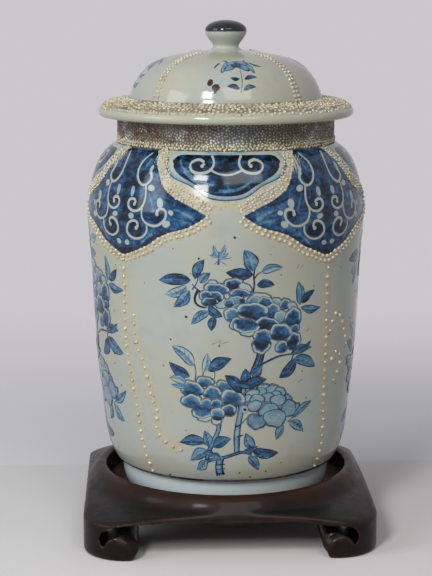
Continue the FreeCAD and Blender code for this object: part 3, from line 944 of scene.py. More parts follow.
BRANCHES = strokes((
    (((27, 168), (27, 158), (25, 150), (21, 140)), 7.5, 6.5, 0.56, True),
    (((27.5, 166), (27, 157), (25, 149), (22, 142)), 0.9, 0.7, 0.95),
    (((26, 148), (33, 151), (42, 154), (58, 155), (68, 157)), 1.8, 1.2, 0.85),
    (((55, 155), (53, 150), (50, 144)), 1.2, 0.8, 0.85),
    (((13, 132), (13, 120), (11, 108), (9, 95), (9, 80)), 6, 5, 0.34, True),
    (((8, 100), (13, 103), (17, 107)), 1.4, 0.8, 0.7), (((9, 92), (14, 93.5)), 1.6, 0.8, 0.75),
    (((-7, 108), (-6, 101), (-11, 88), (-16, 76), (-18, 68)), 4.5, 3.5, 0.46, True),
    (((-14, 84), (-20, 87), (-30, 87)), 1.3, 0.8, 0.85),
    (((-18, 72), (-10, 74), (0, 76), (8, 78.5), (15, 79.5), (22, 77)), 3.4, 2.2, 0.66, True),
    (((-4, 76), (-6, 70), (-5, 60)), 5.5, 7.5, 0.34, True),
    (((20, 203), (21, 211), (20.5, 216), (21.5, 223)), 1.5, 1.0, 0.95),
    (((21, 214), (24, 218), (28, 219.5)), 0.9, 0.6, 0.8),
    (((-21, 206), (-24, 200), (-23.5, 196), (-20, 193.4), (-15, 192.6)), 2.6, 1.1, 0.98),
    (((-19, 204), (-23, 207), (-26, 210)), 1.6, 0.8, 0.85),
    (((-26, 206), (-23, 210), (-21, 216)), 1.0, 0.8, 0.8),
    (((-25, 149), (-24, 143), (-25, 136)), 0.9, 0.7, 0.75),
    (((-18, 144), (-18, 139), (-14, 135)), 0.9, 0.7, 0.75),
    (((-10, 146), (-9, 140), (-12, 135)), 0.8, 0.6, 0.75), (((-9, 69), (-1, 70)), 0.8, 0.8, 0.85),
    (((-9, 65.5), (-1, 66)), 0.8, 0.8, 0.85), (((-9, 61.5), (-1, 62)), 0.9, 0.9, 0.9),
    (((53, 101), (60, 106)), 1.0, 0.8, 0.65),
    (((56, 155), (62, 159), (69, 161)), 0.8, 0.5, 0.8)))
LEAVES = shapes(Leaf, 2, (
    (-17, 88, -40, 86, 9, 0.74), (-11, 84, 4, 91, 9, 0.78), (-15, 81, -31, 72, 9.5, 0.6),
    (-17, 73, -26, 64, 8, 0.4), (-15, 84, -18, 97, 8, 0.55), (24, 82, 16, 95, 9, 0.62),
    (22, 81, 46, 77, 9, 0.95), (19, 76, 29, 64, 8, 0.68), (14, 80, 27, 84, 5, 0.8),
    (-12, 79, -4, 73, 5, 0.7), (58, 104, 76, 115, 6, 0.5), (54, 101, 70, 91, 8, 0.45),
    (49, 99, 43, 88, 7, 0.6), (-9, 77, -20, 79, 5, 0.8), (-25, 148, -43, 162, 10, 0.28),
    (-29, 139, -46, 149, 9, 0.9), (-32, 134, -46, 137, 7, 0.34), (-31, 132, -45, 132, 4, 0.5),
    (-18, 143, -15, 158, 7, 0.3), (-14, 144, 4, 154, 9.5, 0.88), (14, 134, 15, 146, 8.5, 0.8),
    (14, 131.5, 32, 137, 8.5, 0.9), (20, 140, 28, 148, 7, 0.82), (12, 127, -1, 141, 9.5, 0.97),
    (6, 134, 22, 130, 6, 0.9), (57, 150, 43, 137, 10, 0.9), (52, 155, 72, 158, 7, 0.7),
    (55, 151, 77, 142, 9.5, 0.66), (57, 155, 71, 163, 5, 0.85), (-30, 208, -48, 201, 8, 0.3),
    (-27, 213, -53, 211.5, 9.5, 0.9, 0.03), (-24, 214, -16.5, 229, 8, 0.8), (-28, 205, -41, 192, 9, 0.58),
    (-20, 211, -12, 219, 6.5, 0.55), (20, 220, 13, 236, 11.5, 0.62),
    (20, 217.6, -0.5, 219.4, 9.5, 1.0, 0.03), (26, 219, 43, 222, 7, 0.38), (23, 209.4, 37, 209, 7, 1.0),
    (59, 192, 57, 210, 8.5, 0.6), (61, 193, 73, 202, 6.5, 0.97), (60, 190, 80, 188, 6.5, 0.68),
    (-13, 189.6, -27, 179.5, 7.5, 0.5), (-9, 186, -11.5, 175, 7, 0.86),
    (-14, 193, -3, 186, 7.5, 0.92)))
UPPER_BLOOM = shapes(Petal, 1, (
    (26, 200.4, 7.2, 2.6, 0.1, -5), (-11, 209.8, 4.2, 3, 0.2, 20), (5, 210.5, 6.5, 4, 0.92, 10),
    (14, 207.5, 4.8, 3, 0.12, -25), (-7.5, 206.4, 8.8, 4.4, 0.78, -5), (10, 203.5, 7.4, 3.2, 0.68),
    (7.5, 198.8, 4.8, 2.8, 0.34), (21, 198, 4.8, 3, 0.42), (38, 195.2, 4.4, 3.2, 0.25, 10),
    (29.5, 195.8, 6.2, 4.2, 0.8, -5), (46, 193.4, 4.6, 3.8, 0.6), (52, 191, 4.2, 3.2, 0.2, -30),
    (-4.5, 196.3, 4, 4.4, 0.14, -30), (2, 196, 3.6, 3.2, 0.82), (-8.5, 200.8, 5.8, 4.4, 0.92, -12),
    (-15.5, 201.5, 4.4, 4, 0.7, 20), (-12.5, 197, 5.8, 3.2, 1.0), (8, 192.6, 3.6, 2.8, 0.45, 20),
    (35.5, 189, 5.8, 5.6, 0.72, 10), (20, 189.8, 11.4, 6, 0.9, -6), (42, 184.4, 4.6, 4.4, 0.25),
    (53, 182.6, 6.6, 7.2, 0.84, -5), (4, 187.6, 5, 5, 0.56, 35), (7, 181, 4.4, 3.6, 0.5, 60),
    (31.5, 179.4, 9.8, 4.8, 0.97, -8), (17, 174.6, 6.4, 3, 0.12, 180), (15, 179, 9.6, 5, 0.82, 172),
    (27, 163.6, 6.6, 5.8, 0.98, 180), (44, 161, 4.6, 4.6, 0.66, 20), (54, 164.5, 5.4, 6.8, 0.92, -30),
    (28, 170.4, 6.6, 5.2, 0.7), (42.5, 172.4, 8.6, 6.4, 0.9, -4),
    (55, 174.5, 3.4, 3, 0.95)))
LOWER_BLOOM = shapes(Petal, 1, (
    (-17, 135.6, 6.6, 3.6, 0.66), (-1, 132.4, 6.2, 3.8, 0.8, -15), (-27.5, 129, 8.6, 6, 0.92),
    (-11, 127, 6.6, 5, 0.88), (5, 122.6, 8.8, 6.6, 0.78, -12), (-28, 119.4, 8, 5.4, 0.84),
    (-16, 118.4, 5, 3.6, 0.64), (-8, 118.6, 4, 3.4, 0.94), (-18, 107.6, 6, 2.8, 0.06, 180),
    (-8, 104.8, 3.6, 2.4, 0.06, 180), (-19.5, 111.6, 8, 4.6, 0.8, 180), (2, 113.4, 5.4, 4.6, 0.92),
    (-7, 110.4, 5.2, 4.8, 0.56)))
PALE_BLOOM = shapes(Petal, 1, (
    (30, 129.8, 5.6, 3.2, 0.24), (37, 128.2, 5.6, 3.6, 0.28), (44, 125.4, 5, 3.8, 0.24, -20),
    (58, 111, 3.4, 5.4, 0.3, -60), (28, 127.4, 4.4, 3.2, 0.28), (21, 125.8, 5.6, 3.6, 0.22, 15),
    (17, 122.6, 3.8, 2.8, 0.2, 20), (40, 123.4, 5.6, 3.6, 0.28), (34, 122.2, 5, 3.8, 0.24),
    (25, 121.4, 6, 3.8, 0.26), (50, 117.4, 5.6, 5, 0.28, -25), (43, 119.4, 6.8, 4.4, 0.24, -5),
    (53, 111.4, 6.6, 6.6, 0.3, -20), (30, 112.6, 4.4, 3.8, 0.26), (23, 116.2, 5.6, 4.4, 0.24, 10),
    (35, 112.2, 8.2, 5, 0.28, 10), (25, 104.2, 7.2, 5.4, 0.4, 160),
    (41, 106.2, 9.4, 7, 0.26, 170)), lined=True)
FLOWER_HEARTS = shapes(Spot, 1, (
    (12, 198, 2.2, 1.7, 1.0), (-7.5, 107, 3.4, 1.9, 1.0), (15, 113.8, 2.9, 2.9, 0.14),
    (15, 113.8, 1.3, 1.3, 1.0), (-10, 197.5, 3.0, 2.0, 1.0),
    (23, 184.5, 2.6, 1.3, 0.98)))
GRASS = strokes((
    (((-11, 165), (-7, 166.5), (-4, 168.5)), 0.5, 0.35, 0.5), (((-6, 163.5), (-4, 167.5)), 0.5, 0.3, 0.5),
    (((-3, 165.5), (2, 167)), 0.5, 0.3, 0.5), (((55, 220), (57, 223)), 0.5, 0.3, 0.5),
    (((58, 220), (61, 222)), 0.5, 0.3, 0.5), (((66, 171), (69, 173)), 0.5, 0.3, 0.5),
    (((61, 132), (65, 134)), 0.5, 0.3, 0.5)))
MOTH = shapes(Leaf, 2, (
    (-6, 231, -9.5, 240, 3.6, 0.42), (-5, 231, -1, 240.5, 3.8, 0.38), (-6, 231, -12.5, 232, 3.0, 0.46),
    (-5, 230.5, 1.5, 234, 2.8, 0.4))) + strokes((
    (((-6, 225), (-5.5, 235)), 1.8, 1.2, 0.66), (((-5, 229), (4, 230.5)), 0.9, 0.4, 0.5),
    (((-5, 228), (0, 225)), 0.7, 0.4, 0.5),
    (((-6, 228), (-9, 225.5)), 0.7, 0.4, 0.5)))
GLAZE_SPECKS = (
    (6, 245.5, 1.1), (-31, 185, 1.2), (-44, 167, 0.8), (-5.5, 163.5, 0.8), (-78, 160, 0.8), (-51, 146, 0.6),
    (-54, 57, 1.1), (-20.5, 229.5, 0.9), (42, 216, 0.6), (64, 140, 0.6), (-12, 51, 0.9), (-47, 50, 0.9),
    (22, 58, 0.8), (36, 62, 0.7), (-62, 120, 0.6), (70, 118, 0.7), (50, 68, 0.6), (-34, 96, 0.5),
    (72, 205, 0.6), (33, 232, 0.5), (-66, 208, 0.5), (-40, 236, 0.6), (-6, 60.5, 0.8), (12, 62, 0.9),
    (-27, 218, 0.5), (58, 250, 0.5))
LID_SPRAY = strokes((
    (((9.5, 29), (10, 20), (8.6, 9)), 0.8, 0.9, 0.6),
    (((8.6, 13), (4, 14)), 0.5, 0.4, 0.5))) + shapes(Leaf, 2, (
    (8.5, 20.5, 2.5, 21.5, 3.4, 0.97), (11.5, 20, 20, 21.5, 3.8, 0.95), (8, 12, 0.5, 14, 4.2, 0.86),
    (10, 11, 18, 13.5, 4.2, 0.9), (-5, 38.5, -9, 30, 2.6, 0.92), (18, 39, 27, 33, 2.8, 0.85),
    (1, 41.5, -3, 43, 2.2, 0.8), (14, 41, 17, 43, 2.2, 0.7))) + shapes(Petal, 1, (
    (-1, 33, 5, 3.6, 0.3, 60), (17, 33, 5, 3.6, 0.34, -60), (5, 37.5, 5.6, 3.6, 0.3, 10),
    (12, 38, 5.6, 3.6, 0.32, -10), (3, 32, 5.4, 3.8, 0.36, 20), (12, 32, 5.4, 4.0, 0.4, -20),
    (7.5, 34.5, 4.4, 3.4, 0.75)), lined=True) + shapes(Spot, 1, (
    (7.5, 36, 1.6, 1.0, 1.0),))
LID_RUST = ((-10, 17, 3.2, 3.2), (-6.3, 13, 4.2, 3.2), (-6.6, 10, 1.8, 2.2))


@dataclass(frozen=True)
class Lappet:
    """A pointed shoulder panel: a cobalt ground with pale scrolls, alike on both sides of its middle."""
    middle: float = 84.0
    left_upper: tuple[Point, ...] = (
        (13, 261), (20, 264.8), (27, 268.2), (35, 271.8), (42, 275.6), (48, 280.6), (52, 286.6), (56, 293),
        (60, 299), (63, 303.6))
    left_lower: tuple[Point, ...] = (
        (13, 260.6), (20, 255.8), (27, 252), (34, 249.8), (41, 247.8), (47, 245.2), (53, 241.6),
        (59, 237.6), (67, 233.8), (75, 230.6), (84, 228))
    curls: tuple[tuple[Point, ...], ...] = (
        ((69, 303.4), (73, 299.4), (75, 292.4), (74, 287), (71, 283), (66, 281), (62, 283), (60, 286.6),
         (61.5, 290)),
        ((64, 281), (63, 276), (63, 270), (66, 264.2), (71, 261.8), (77, 263.4), (79, 266.8), (77.5, 270),
         (74, 270.6), (71.5, 269), (72.4, 267)),
        ((65, 265.5), (65, 260.2), (63, 255.4), (58, 252.6), (52, 252.2), (47, 255), (44, 259.8),
         (44.5, 263.4), (48, 265), (51, 263.6), (51.4, 261)),
        ((60, 252), (60, 247.8), (63, 243.8), (69, 241.4), (75, 242.2), (79, 246.2), (78, 251.4),
         (74, 254.4), (70, 254.4), (68, 252), (69.6, 249.4)))
    hearts: tuple[Spot, ...] = shapes(Spot, 1, (
        (67.5, 287.5, 5, 4, 0.98), (71, 267.5, 6, 5, 0.98), (51, 258.5, 6, 5, 0.96),
        (70, 248, 7, 5.4, 0.98), (84, 280, 3.4, 10, 0.95), (84, 258, 3, 6, 0.98)))
    buds: tuple[Spot, ...] = shapes(Spot, 1, (
        (62, 293, 1.7, 2.6, 0.12), (58.6, 279.4, 3.0, 2.5, 0.08), (76, 276, 2.1, 3.6, 0.16),
        (49.5, 269, 2.6, 3.8, 0.1), (40.2, 262.5, 2.1, 2.0, 0.08), (43.4, 254, 3.1, 2.6, 0.08),
        (75, 258, 3.1, 2.1, 0.14), (79.5, 237.6, 2.6, 2.0, 0.12)))
    washes: tuple[Stroke, ...] = strokes((
        (((22, 258), (29, 262), (38, 265)), 2.6, 1.2, 0.42),
        (((24, 255), (32, 257), (39, 258.5)), 1.8, 0.8, 0.5),
        (((30, 268), (40, 270), (52, 274)), 2.4, 1.4, 0.9),
        (((55, 246), (60, 243), (66, 237)), 2.4, 1.0, 0.46),
        (((54, 262), (58, 272), (60, 276)), 2.2, 1.2, 0.5),
        (((66, 300), (68, 294), (68, 291)), 2.2, 1.0, 0.5)))

    def upper(self) -> list[Point]:
        """The upper edge from the left tip to the right tip, along the neck between."""
        return list(self.left_upper) + mirrored(self.left_upper, self.middle)

    def lower(self) -> list[Point]:
        """The lower edge from the left tip to the right tip."""
        return list(self.left_lower) + mirrored(self.left_lower, self.middle)[1:]

    def paint(self, painting: Painting) -> None:
        """Paint the ground and, on both sides of the middle, the scrolls."""
        strip = tuple((x, y - 3.2) for x, y in self.lower())
        painting.stroke(Stroke(strip, 13.0, 13.0, 1.1), Ink.CREAM, 0.02)
        painting.ground(self.lower(), self.upper(), 0.84, 0.07, fading=0.3)
        painting.cover(0.0, 170.0, 0.07)
        half = list(self.washes + self.hearts)
        for curl in self.curls:
            half += [Stroke(curl, 1.5, 2.2, 0.08), Spot(curl[-1], 1.5, 1.5, 0.08)]
        for side in (1, -1):
            painting.paint([moved(shape, lambda p: (self.middle + side * (p[0] - self.middle), p[1]))
                            for shape in (*half, *self.buds)])


@dataclass(frozen=True)
class Medallion:
    """The cloud-shaped panel under the neck, over the middle of a painted panel."""
    field_edge: tuple[Point, ...] = (
        (0, 275.2), (7, 275.6), (14, 277.4), (21, 281.4), (29, 285.4), (37, 289.2), (43, 293.6),
        (46.5, 299))
    field_top: tuple[Point, ...] = ((36, 303.5), (42, 303), (45, 301.6), (46.5, 299.4))
    band_edge: tuple[Point, ...] = (
        (0, 272.8), (7, 273.2), (14, 274.8), (21, 278.8), (28, 283), (38, 286.4), (46, 290.6), (50.5, 296),
        (51.5, 301.5))
    curl: tuple[Point, ...] = (
        (13, 303.2), (10.5, 299.4), (11.5, 295), (16, 292), (22.5, 291.2), (28.5, 293.4), (30, 297.4),
        (26.5, 300), (21, 300), (18.4, 298), (20, 296.2))
    sway: tuple[Point, ...] = (
        (-12, 293.2), (-6, 291), (0, 290.2), (6, 291), (12, 293.2))
    washes: tuple[Stroke, ...] = strokes((
        (((-34, 293), (-24, 286), (-10, 283)), 3.4, 1.8, 0.42),
        (((-6, 279), (8, 280), (20, 286)), 2.6, 1.4, 0.5),
        (((-2, 286.5), (12, 286), (26, 288)), 2.4, 1.2, 0.92),
        (((-40, 300), (-36, 295), (-30, 292)), 1.8, 1.0, 0.45),
        (((30, 290), (37, 294), (42, 300)), 2.2, 1.2, 0.9),
        (((-22, 281), (-14, 279), (-8, 278)), 1.6, 1.0, 0.9)))

    def paint(self, painting: Painting) -> None:
        """Paint the cream round it, the white band, the field and the two scrolls."""
        shore = Lappet().left_upper
        lower = mirrored(shore, 0.0) + [(-6, 264.5), (0, 265.6), (6, 264.5), *shore]
        painting.ground(lower, [(-64, 304.6), (0, 304.6), (64, 304.6)], 0.62, 0.03, Ink.CREAM)
        band, field = (mirrored(edge, 0.0)[:-1] + list(edge) for edge in (self.band_edge, self.field_edge))
        painting.stroke(Stroke(tuple(band), 1.7, 1.7, 0.66), lift=0.05)
        rim = [(-51.5, 301.8), (-49, 304.6), (0, 304.8), (49, 304.6), (51.5, 301.8)]
        painting.ground(band, rim, 0.0, 0.075)
        top = mirrored(self.field_top, 0.0) + [(0, 303.6), *self.field_top]
        painting.ground(field, top, 0.82, 0.15)
        painting.cover(-55.0, 55.0, 0.15)
        painting.dot(Spot((0, 297), 8.5, 5, 1.0))
        painting.paint(self.washes)
        for side in (1, -1):
            curl = tuple((side * x, y) for x, y in self.curl)
            painting.paint((Spot((side * 20.5, 296), 7.5, 3.6, 0.98), Stroke(curl, 1.9, 1.9, 0.06),
                            Spot(curl[-1], 1.3, 1.3, 0.06)))
        painting.stroke(Stroke(self.sway, 1.4, 1.4, 0.1))


class Painter:
    """Paints the jar and the lid, with a material for each ink."""

    STRETCHES = (1.0, 1.05, 1.02, 1.09)

    def __init__(self, materials: list[Material]) -> None:
        """Keep the materials."""
        self.materials = materials

    def panel(self, surface: TurnedSurface, index: int, name: str, strips: tuple) -> Piece:
        """Paint one panel's flowering branch, and the cream under its bead lines.

        Args:
            surface: The jar's wall.
            index: Which panel, counted from the front to the right.
            name: The piece's name.
            strips: The bead lines.

        Returns:
            The painted panel.
        """
        painting = Painting(name, surface, 40 + index)
        painting.frame_panel(index, 60.0, self.STRETCHES[index])
        painting.paint(BRANCHES)
        painting.bloom(PALE_BLOOM, 0.92)
        painting.bloom(LOWER_BLOOM, 0.84)
        painting.paint(LEAVES)
        painting.bloom(UPPER_BLOOM, 1.06)
        painting.paint(FLOWER_HEARTS + GRASS + MOTH)
        for x, y, size in GLAZE_SPECKS:
            painting.dot(Spot((x, y), size, size * 0.8, 0.0), Ink.IRON)
        painting.frame_panel(index)
        for strip in strips:
            painting.stroke(Stroke(strip, 13.0, 16.0, 0.8), Ink.CREAM, 0.02)
        return painting.finish(self.materials)

    def shoulder(self, surface: TurnedSurface) -> Piece:
        """Paint the four lappets and the four medallions between them."""
        painting = Painting("painted_shoulder", surface, 7)
        for index in range(len(PANEL_ANGLES)):
            for pattern in (Lappet(), Medallion()):
                painting.frame_panel(index)
                pattern.paint(painting)
        return painting.finish(self.materials)

    def lid(self, surface: TurnedSurface) -> Piece:
        """Paint a small spray on each side of the lid, with iron spots beside two of them."""
        painting = Painting("painted_lid", surface, 21)
        wide = REFERENCE_RADIUS / (float(surface.radius[0]) * 0.85)
        for index in range(len(PANEL_ANGLES)):
            painting.frame_panel(index)
            painting.paint([moved(shape, lambda p: (p[0] * ARC_PER_DEGREE, p[1]), wide)
                            for shape in LID_SPRAY])
            if index % 2 == 0:
                for x, y, half_wide, half_high in LID_RUST:
                    painting.dot(Spot((x * ARC_PER_DEGREE, y), half_wide, half_high, 0.0), Ink.IRON)
        return painting.finish(self.materials)


class BeadTree(NodeTools):
    """A geometry node tree that sets slip beads along lines or scatters them over a band."""

    INPUTS = (("Spacing", "Float"), ("Bead Radius", "Float"), ("Bead Height", "Float"), ("Smallest", "Float"),
              ("Largest", "Float"), ("Sides", "Int"), ("Rings", "Int"), ("Seed", "Int"), ("Wander", "Float"),
              ("Finish", "Material"))
    HIGHEST_DENSITY = 4.0e6

    def __init__(self, name: str, scattered: bool) -> None:
        """Build the tree.

        Args:
            name: The tree's name.
            scattered: Whether beads are scattered over faces, or else set along edges.
        """
        super().__init__(bpy.data.node_groups.new(name, "GeometryNodeTree"))
        face = self.tree.interface
        face.new_socket("Geometry", in_out="INPUT", socket_type="NodeSocketGeometry")
        face.new_socket("Geometry", in_out="OUTPUT", socket_type="NodeSocketGeometry")
        for label, kind in self.INPUTS:
            face.new_socket(label, in_out="INPUT", socket_type="NodeSocket" + kind)
        given = self.add("NodeGroupInput").outputs
        if scattered:
            spots = self.add("GeometryNodeDistributePointsOnFaces", {
                "Mesh": given["Geometry"], "Distance Min": given["Spacing"], "Seed": given["Seed"],
                "Density Max": self.HIGHEST_DENSITY}, distribute_method="POISSON")
            places, out = spots.outputs["Points"], spots.outputs["Normal"]
        else:
            places = self.wandering(given)
            out = self.add("GeometryNodeInputNamedAttribute", {"Name": "out"},
                           data_type="FLOAT_VECTOR").outputs["Attribute"]
        bead = self.add("GeometryNodeMeshUVSphere", {
            "Segments": given["Sides"], "Rings": given["Rings"], "Radius": given["Bead Radius"]})
        squash = self.add("ShaderNodeCombineXYZ", {"X": 1.0, "Y": 1.0, "Z": given["Bead Height"]})
        shaped = self.add("GeometryNodeTransform", {
            "Geometry": bead.outputs["Mesh"], "Scale": squash.outputs[0]})
        facing = self.add("FunctionNodeAlignRotationToVector", {"Vector": out}, axis="Z")
        sizes = self.add("FunctionNodeRandomValue", {2: given["Smallest"], 3: given["Largest"],
                                                     "Seed": given["Seed"]})
        copies = self.add("GeometryNodeInstanceOnPoints", {
            "Points": places, "Instance": shaped.outputs[0], "Rotation": facing.outputs[0],
            "Scale": sizes.outputs[1]})
        real = self.add("GeometryNodeRealizeInstances", {0: copies.outputs[0]})
        smooth = self.add("GeometryNodeSetShadeSmooth", {0: real.outputs[0]})
        finish = self.add("GeometryNodeSetMaterial", {
            "Geometry": smooth.outputs[0], "Material": given["Finish"]})
        self.add("NodeGroupOutput", {0: finish.outputs[0]})

    def wandering(self, given: bpy.types.bpy_prop_collection) -> Socket:
        """Evenly spaced places along the lines, each moved a little at random."""
        lines = self.add("GeometryNodeMeshToCurve", {0: given["Geometry"]})
        even = self.add("GeometryNodeResampleCurve", {"Curve": lines.outputs[0], "Length": given["Spacing"]},
                        mode="LENGTH")
        spread = self.add("FunctionNodeRandomValue", {0: (-1.0, -1.0, -1.0), "Seed": given["Seed"]},
                          data_type="FLOAT_VECTOR")
        offset = self.add("ShaderNodeVectorMath", {0: spread.outputs[0], "Scale": given["Wander"]},
                          operation="SCALE")
        return self.add("GeometryNodeSetPosition", {"Geometry": even.outputs["Curve"],
                                                    "Offset": offset.outputs[0]}).outputs[0]

    def grow(self, name: str, carrier: bpy.types.Mesh, settings: dict[str, object]) -> Piece:
        """Run the tree on a carrier mesh and keep the result as a plain mesh.

        Args:
            name: The new piece's name.
            carrier: The lines or the band.
            settings: The tree's inputs by name.

        Returns:
            The beads as one piece.
        """
        holder = linked(carrier.name, carrier)
        modifier = holder.modifiers.new("beads", "NODES")
        modifier.node_group = self.tree
        for item in self.tree.interface.items_tree:
            if item.in_out == "INPUT" and item.name in settings:
                modifier[item.identifier] = settings[item.name]
        holder.update_tag()
        bpy.context.view_layer.update()
        mesh = bpy.data.meshes.new_from_object(holder.evaluated_get(bpy.context.evaluated_depsgraph_get()))
        mesh.name = name
        bpy.data.objects.remove(holder)
        return linked(name, mesh)


@dataclass
class BeadRow:
    """Beads along a route on a turned surface, turned by an angle and shifted to its left."""
    turn: float
    route: list[Point] | tuple[Point, ...]
    shift: float = 0.0


class BeadMaker:
    """Sets the slip beads of a body."""

    CARRIER_STEP = 1.5
    ROW_LIFT = 0.25
    BAND_LIFT = 0.1
    BAND_SEGMENTS = 180
    BAND_ROWS = 8

    def __init__(self) -> None:
        """Build both node trees."""
        self.rows_tree = BeadTree("slip_bead_rows", False)
        self.scatter_tree = BeadTree("slip_bead_scatter", True)

    def rows(self, name: str, surface: TurnedSurface, rows: list[BeadRow], pitch: float, radius: float,
             finish: Material, seed: int, wander: float = 0.25) -> Piece:
        """Beads along routes.

        Args:
            name: The piece's name.
            surface: What the routes lie on.
            rows: The routes.
            pitch: The distance between beads.
            radius: A bead's radius.
            finish: Its material.
            seed: For the sizes.
            wander: How far a bead may lie off its place.

        Returns:
            The beads as one piece.
        """
        points, edges, outs = [], [], []
        for row in rows:
            path = smooth_path(row.route, max(4, int(path_length(row.route) / self.CARRIER_STEP)))
            path = path + path_sides(path) * row.shift
            angle, start = row.turn + path[:, 0] / ARC_PER_DEGREE, len(points)
            points += surface.place(angle, path[:, 1], self.ROW_LIFT).tolist()
            outs += surface.out(angle, path[:, 1]).tolist()
            edges += [(i, i + 1) for i in range(start, len(points) - 1)]
        carrier = bpy.data.meshes.new(name + "_route")
        carrier.from_pydata(points, edges, [])
        layer = carrier.attributes.new("out", "FLOAT_VECTOR", "POINT")
        layer.data.foreach_set("vector", np.ravel(np.array(outs, np.float32)))
        return self.rows_tree.grow(name, carrier, {
            "Spacing": pitch * MM, "Bead Radius": radius * MM, "Bead Height": 0.85, "Smallest": 0.78,
            "Largest": 1.14, "Sides": 8, "Rings": 5, "Seed": seed, "Wander": wander * MM, "Finish": finish})

    def scatter(self, name: str, surface: TurnedSurface, band: Point, spacing: float, radius: float,
                finish: Material, seed: int, sides: int = 6) -> Piece:
        """Beads scattered over a band that goes right round.

        Args:
            name: The piece's name.
            surface: What they lie on.
            band: Where the band starts and ends on the surface.
            spacing: The least distance between beads.
            radius: A bead's radius.
            finish: Its material.
            seed: For the places and sizes.
            sides: Facets round a bead.

        Returns:
            The beads as one piece.
        """
        count = self.BAND_SEGMENTS
        angle, up = np.meshgrid(np.linspace(0, 360, count, endpoint=False),
                                np.linspace(*band, self.BAND_ROWS))
        faces = [(i * count + j, i * count + (j + 1) % count, (i + 1) * count + (j + 1) % count,
                  (i + 1) * count + j) for i in range(self.BAND_ROWS - 1) for j in range(count)]
        carrier = bpy.data.meshes.new(name + "_band")
        carrier.from_pydata(surface.place(angle, up, self.BAND_LIFT).tolist(), [], faces)
        return self.scatter_tree.grow(name, carrier, {
            "Spacing": spacing * MM, "Bead Radius": radius * MM, "Bead Height": 0.68, "Smallest": 0.7,
            "Largest": 1.15, "Sides": sides, "Rings": 4, "Seed": seed, "Finish": finish})


class Finishes:
    """Every material of the object, built once."""

    def __init__(self) -> None:
        """Build the materials."""
        # The jar glaze pales below 53 mm at the foot, partly as painted light.
        self.glaze = GlazeFinish("jar_glaze", ((54.7, 2.2), (51.9, 0.9)), 305.0, clear_and_lit_foot_below=53.0).build()
        self.lid_glaze = GlazeFinish("lid_glaze", brown_between=(334.6, 340.6)).build()
        self.knob_glaze = GlazeFinish("knob_glaze", blue_above=391.6).build()
        self.inks = [CobaltFinish("cobalt_under_glaze").build(), IronFinish("iron_spots").build(),
                     CreamFinish("cream_ground").build()]
        self.bisque = BisqueFinish("bare_porcelain").build()
        self.neck = NeckFinish("mottled_collar", 0.8).build()
        # The collar beads take the collar's colours made twice as light: partly paler slip, partly painted
        # light on their raised tops.
        self.pale_and_lit_neck_beads = NeckFinish("mottled_collar_beads_pale_and_lit", 1.6).build()
        self.slip = SlipFinish("cream_slip", srgb(222, 216, 196), srgb(202, 198, 176), srgb(172, 152, 116),
                               0.35).build()
        self.flange_beads = SlipFinish("tan_slip", srgb(222, 216, 190), srgb(186, 176, 146),
                                       srgb(150, 122, 90), 0.5).build()
        self.hardwood = WoodFinish("oiled_hardwood", srgb(9, 6, 5), srgb(24, 17, 13), srgb(50, 33, 24),
                                   (14.0, 1.0, 1.0), (0.34, 0.5), srgb(50, 26, 16), 0.16).build()
        self.board = WoodFinish("seat_board", srgb(44, 32, 24), srgb(74, 54, 38), srgb(90, 70, 52),
                                (1.0, 14.0, 1.0), (0.5, 0.7)).build()
        self.bamboo = WoodFinish("bamboo_pin", srgb(120, 92, 56), srgb(160, 130, 86), srgb(170, 140, 96),
                                 (1.0, 1.0, 14.0), (0.45, 0.6)).build()


class Body(Enum):
    """The bodies of the frame."""
    STAND = "stand"
    JAR = "jar"
    LID = "lid"


def carry(piece: Piece, body: Body, nodes: tuple[str, ...] = ()) -> None:
    """Put a finished piece on its body, and hide the nodes that it stands for.

    Args:
        piece: The finished piece.
        body: The body that it moves with.
        nodes: The nodes that it replaces.
    """
    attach(piece, body.value)
    if nodes:
        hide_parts(*nodes)
    LOG.info("%s rides on %s, %d faces", piece.name, body.value, len(piece.data.polygons))


def dress(node: Piece, material: Material) -> None:
    """Give a node that stays its finish."""
    if not node.material_slots:
        node.data.materials.append(material)
    for slot in node.material_slots:
        slot.material = material


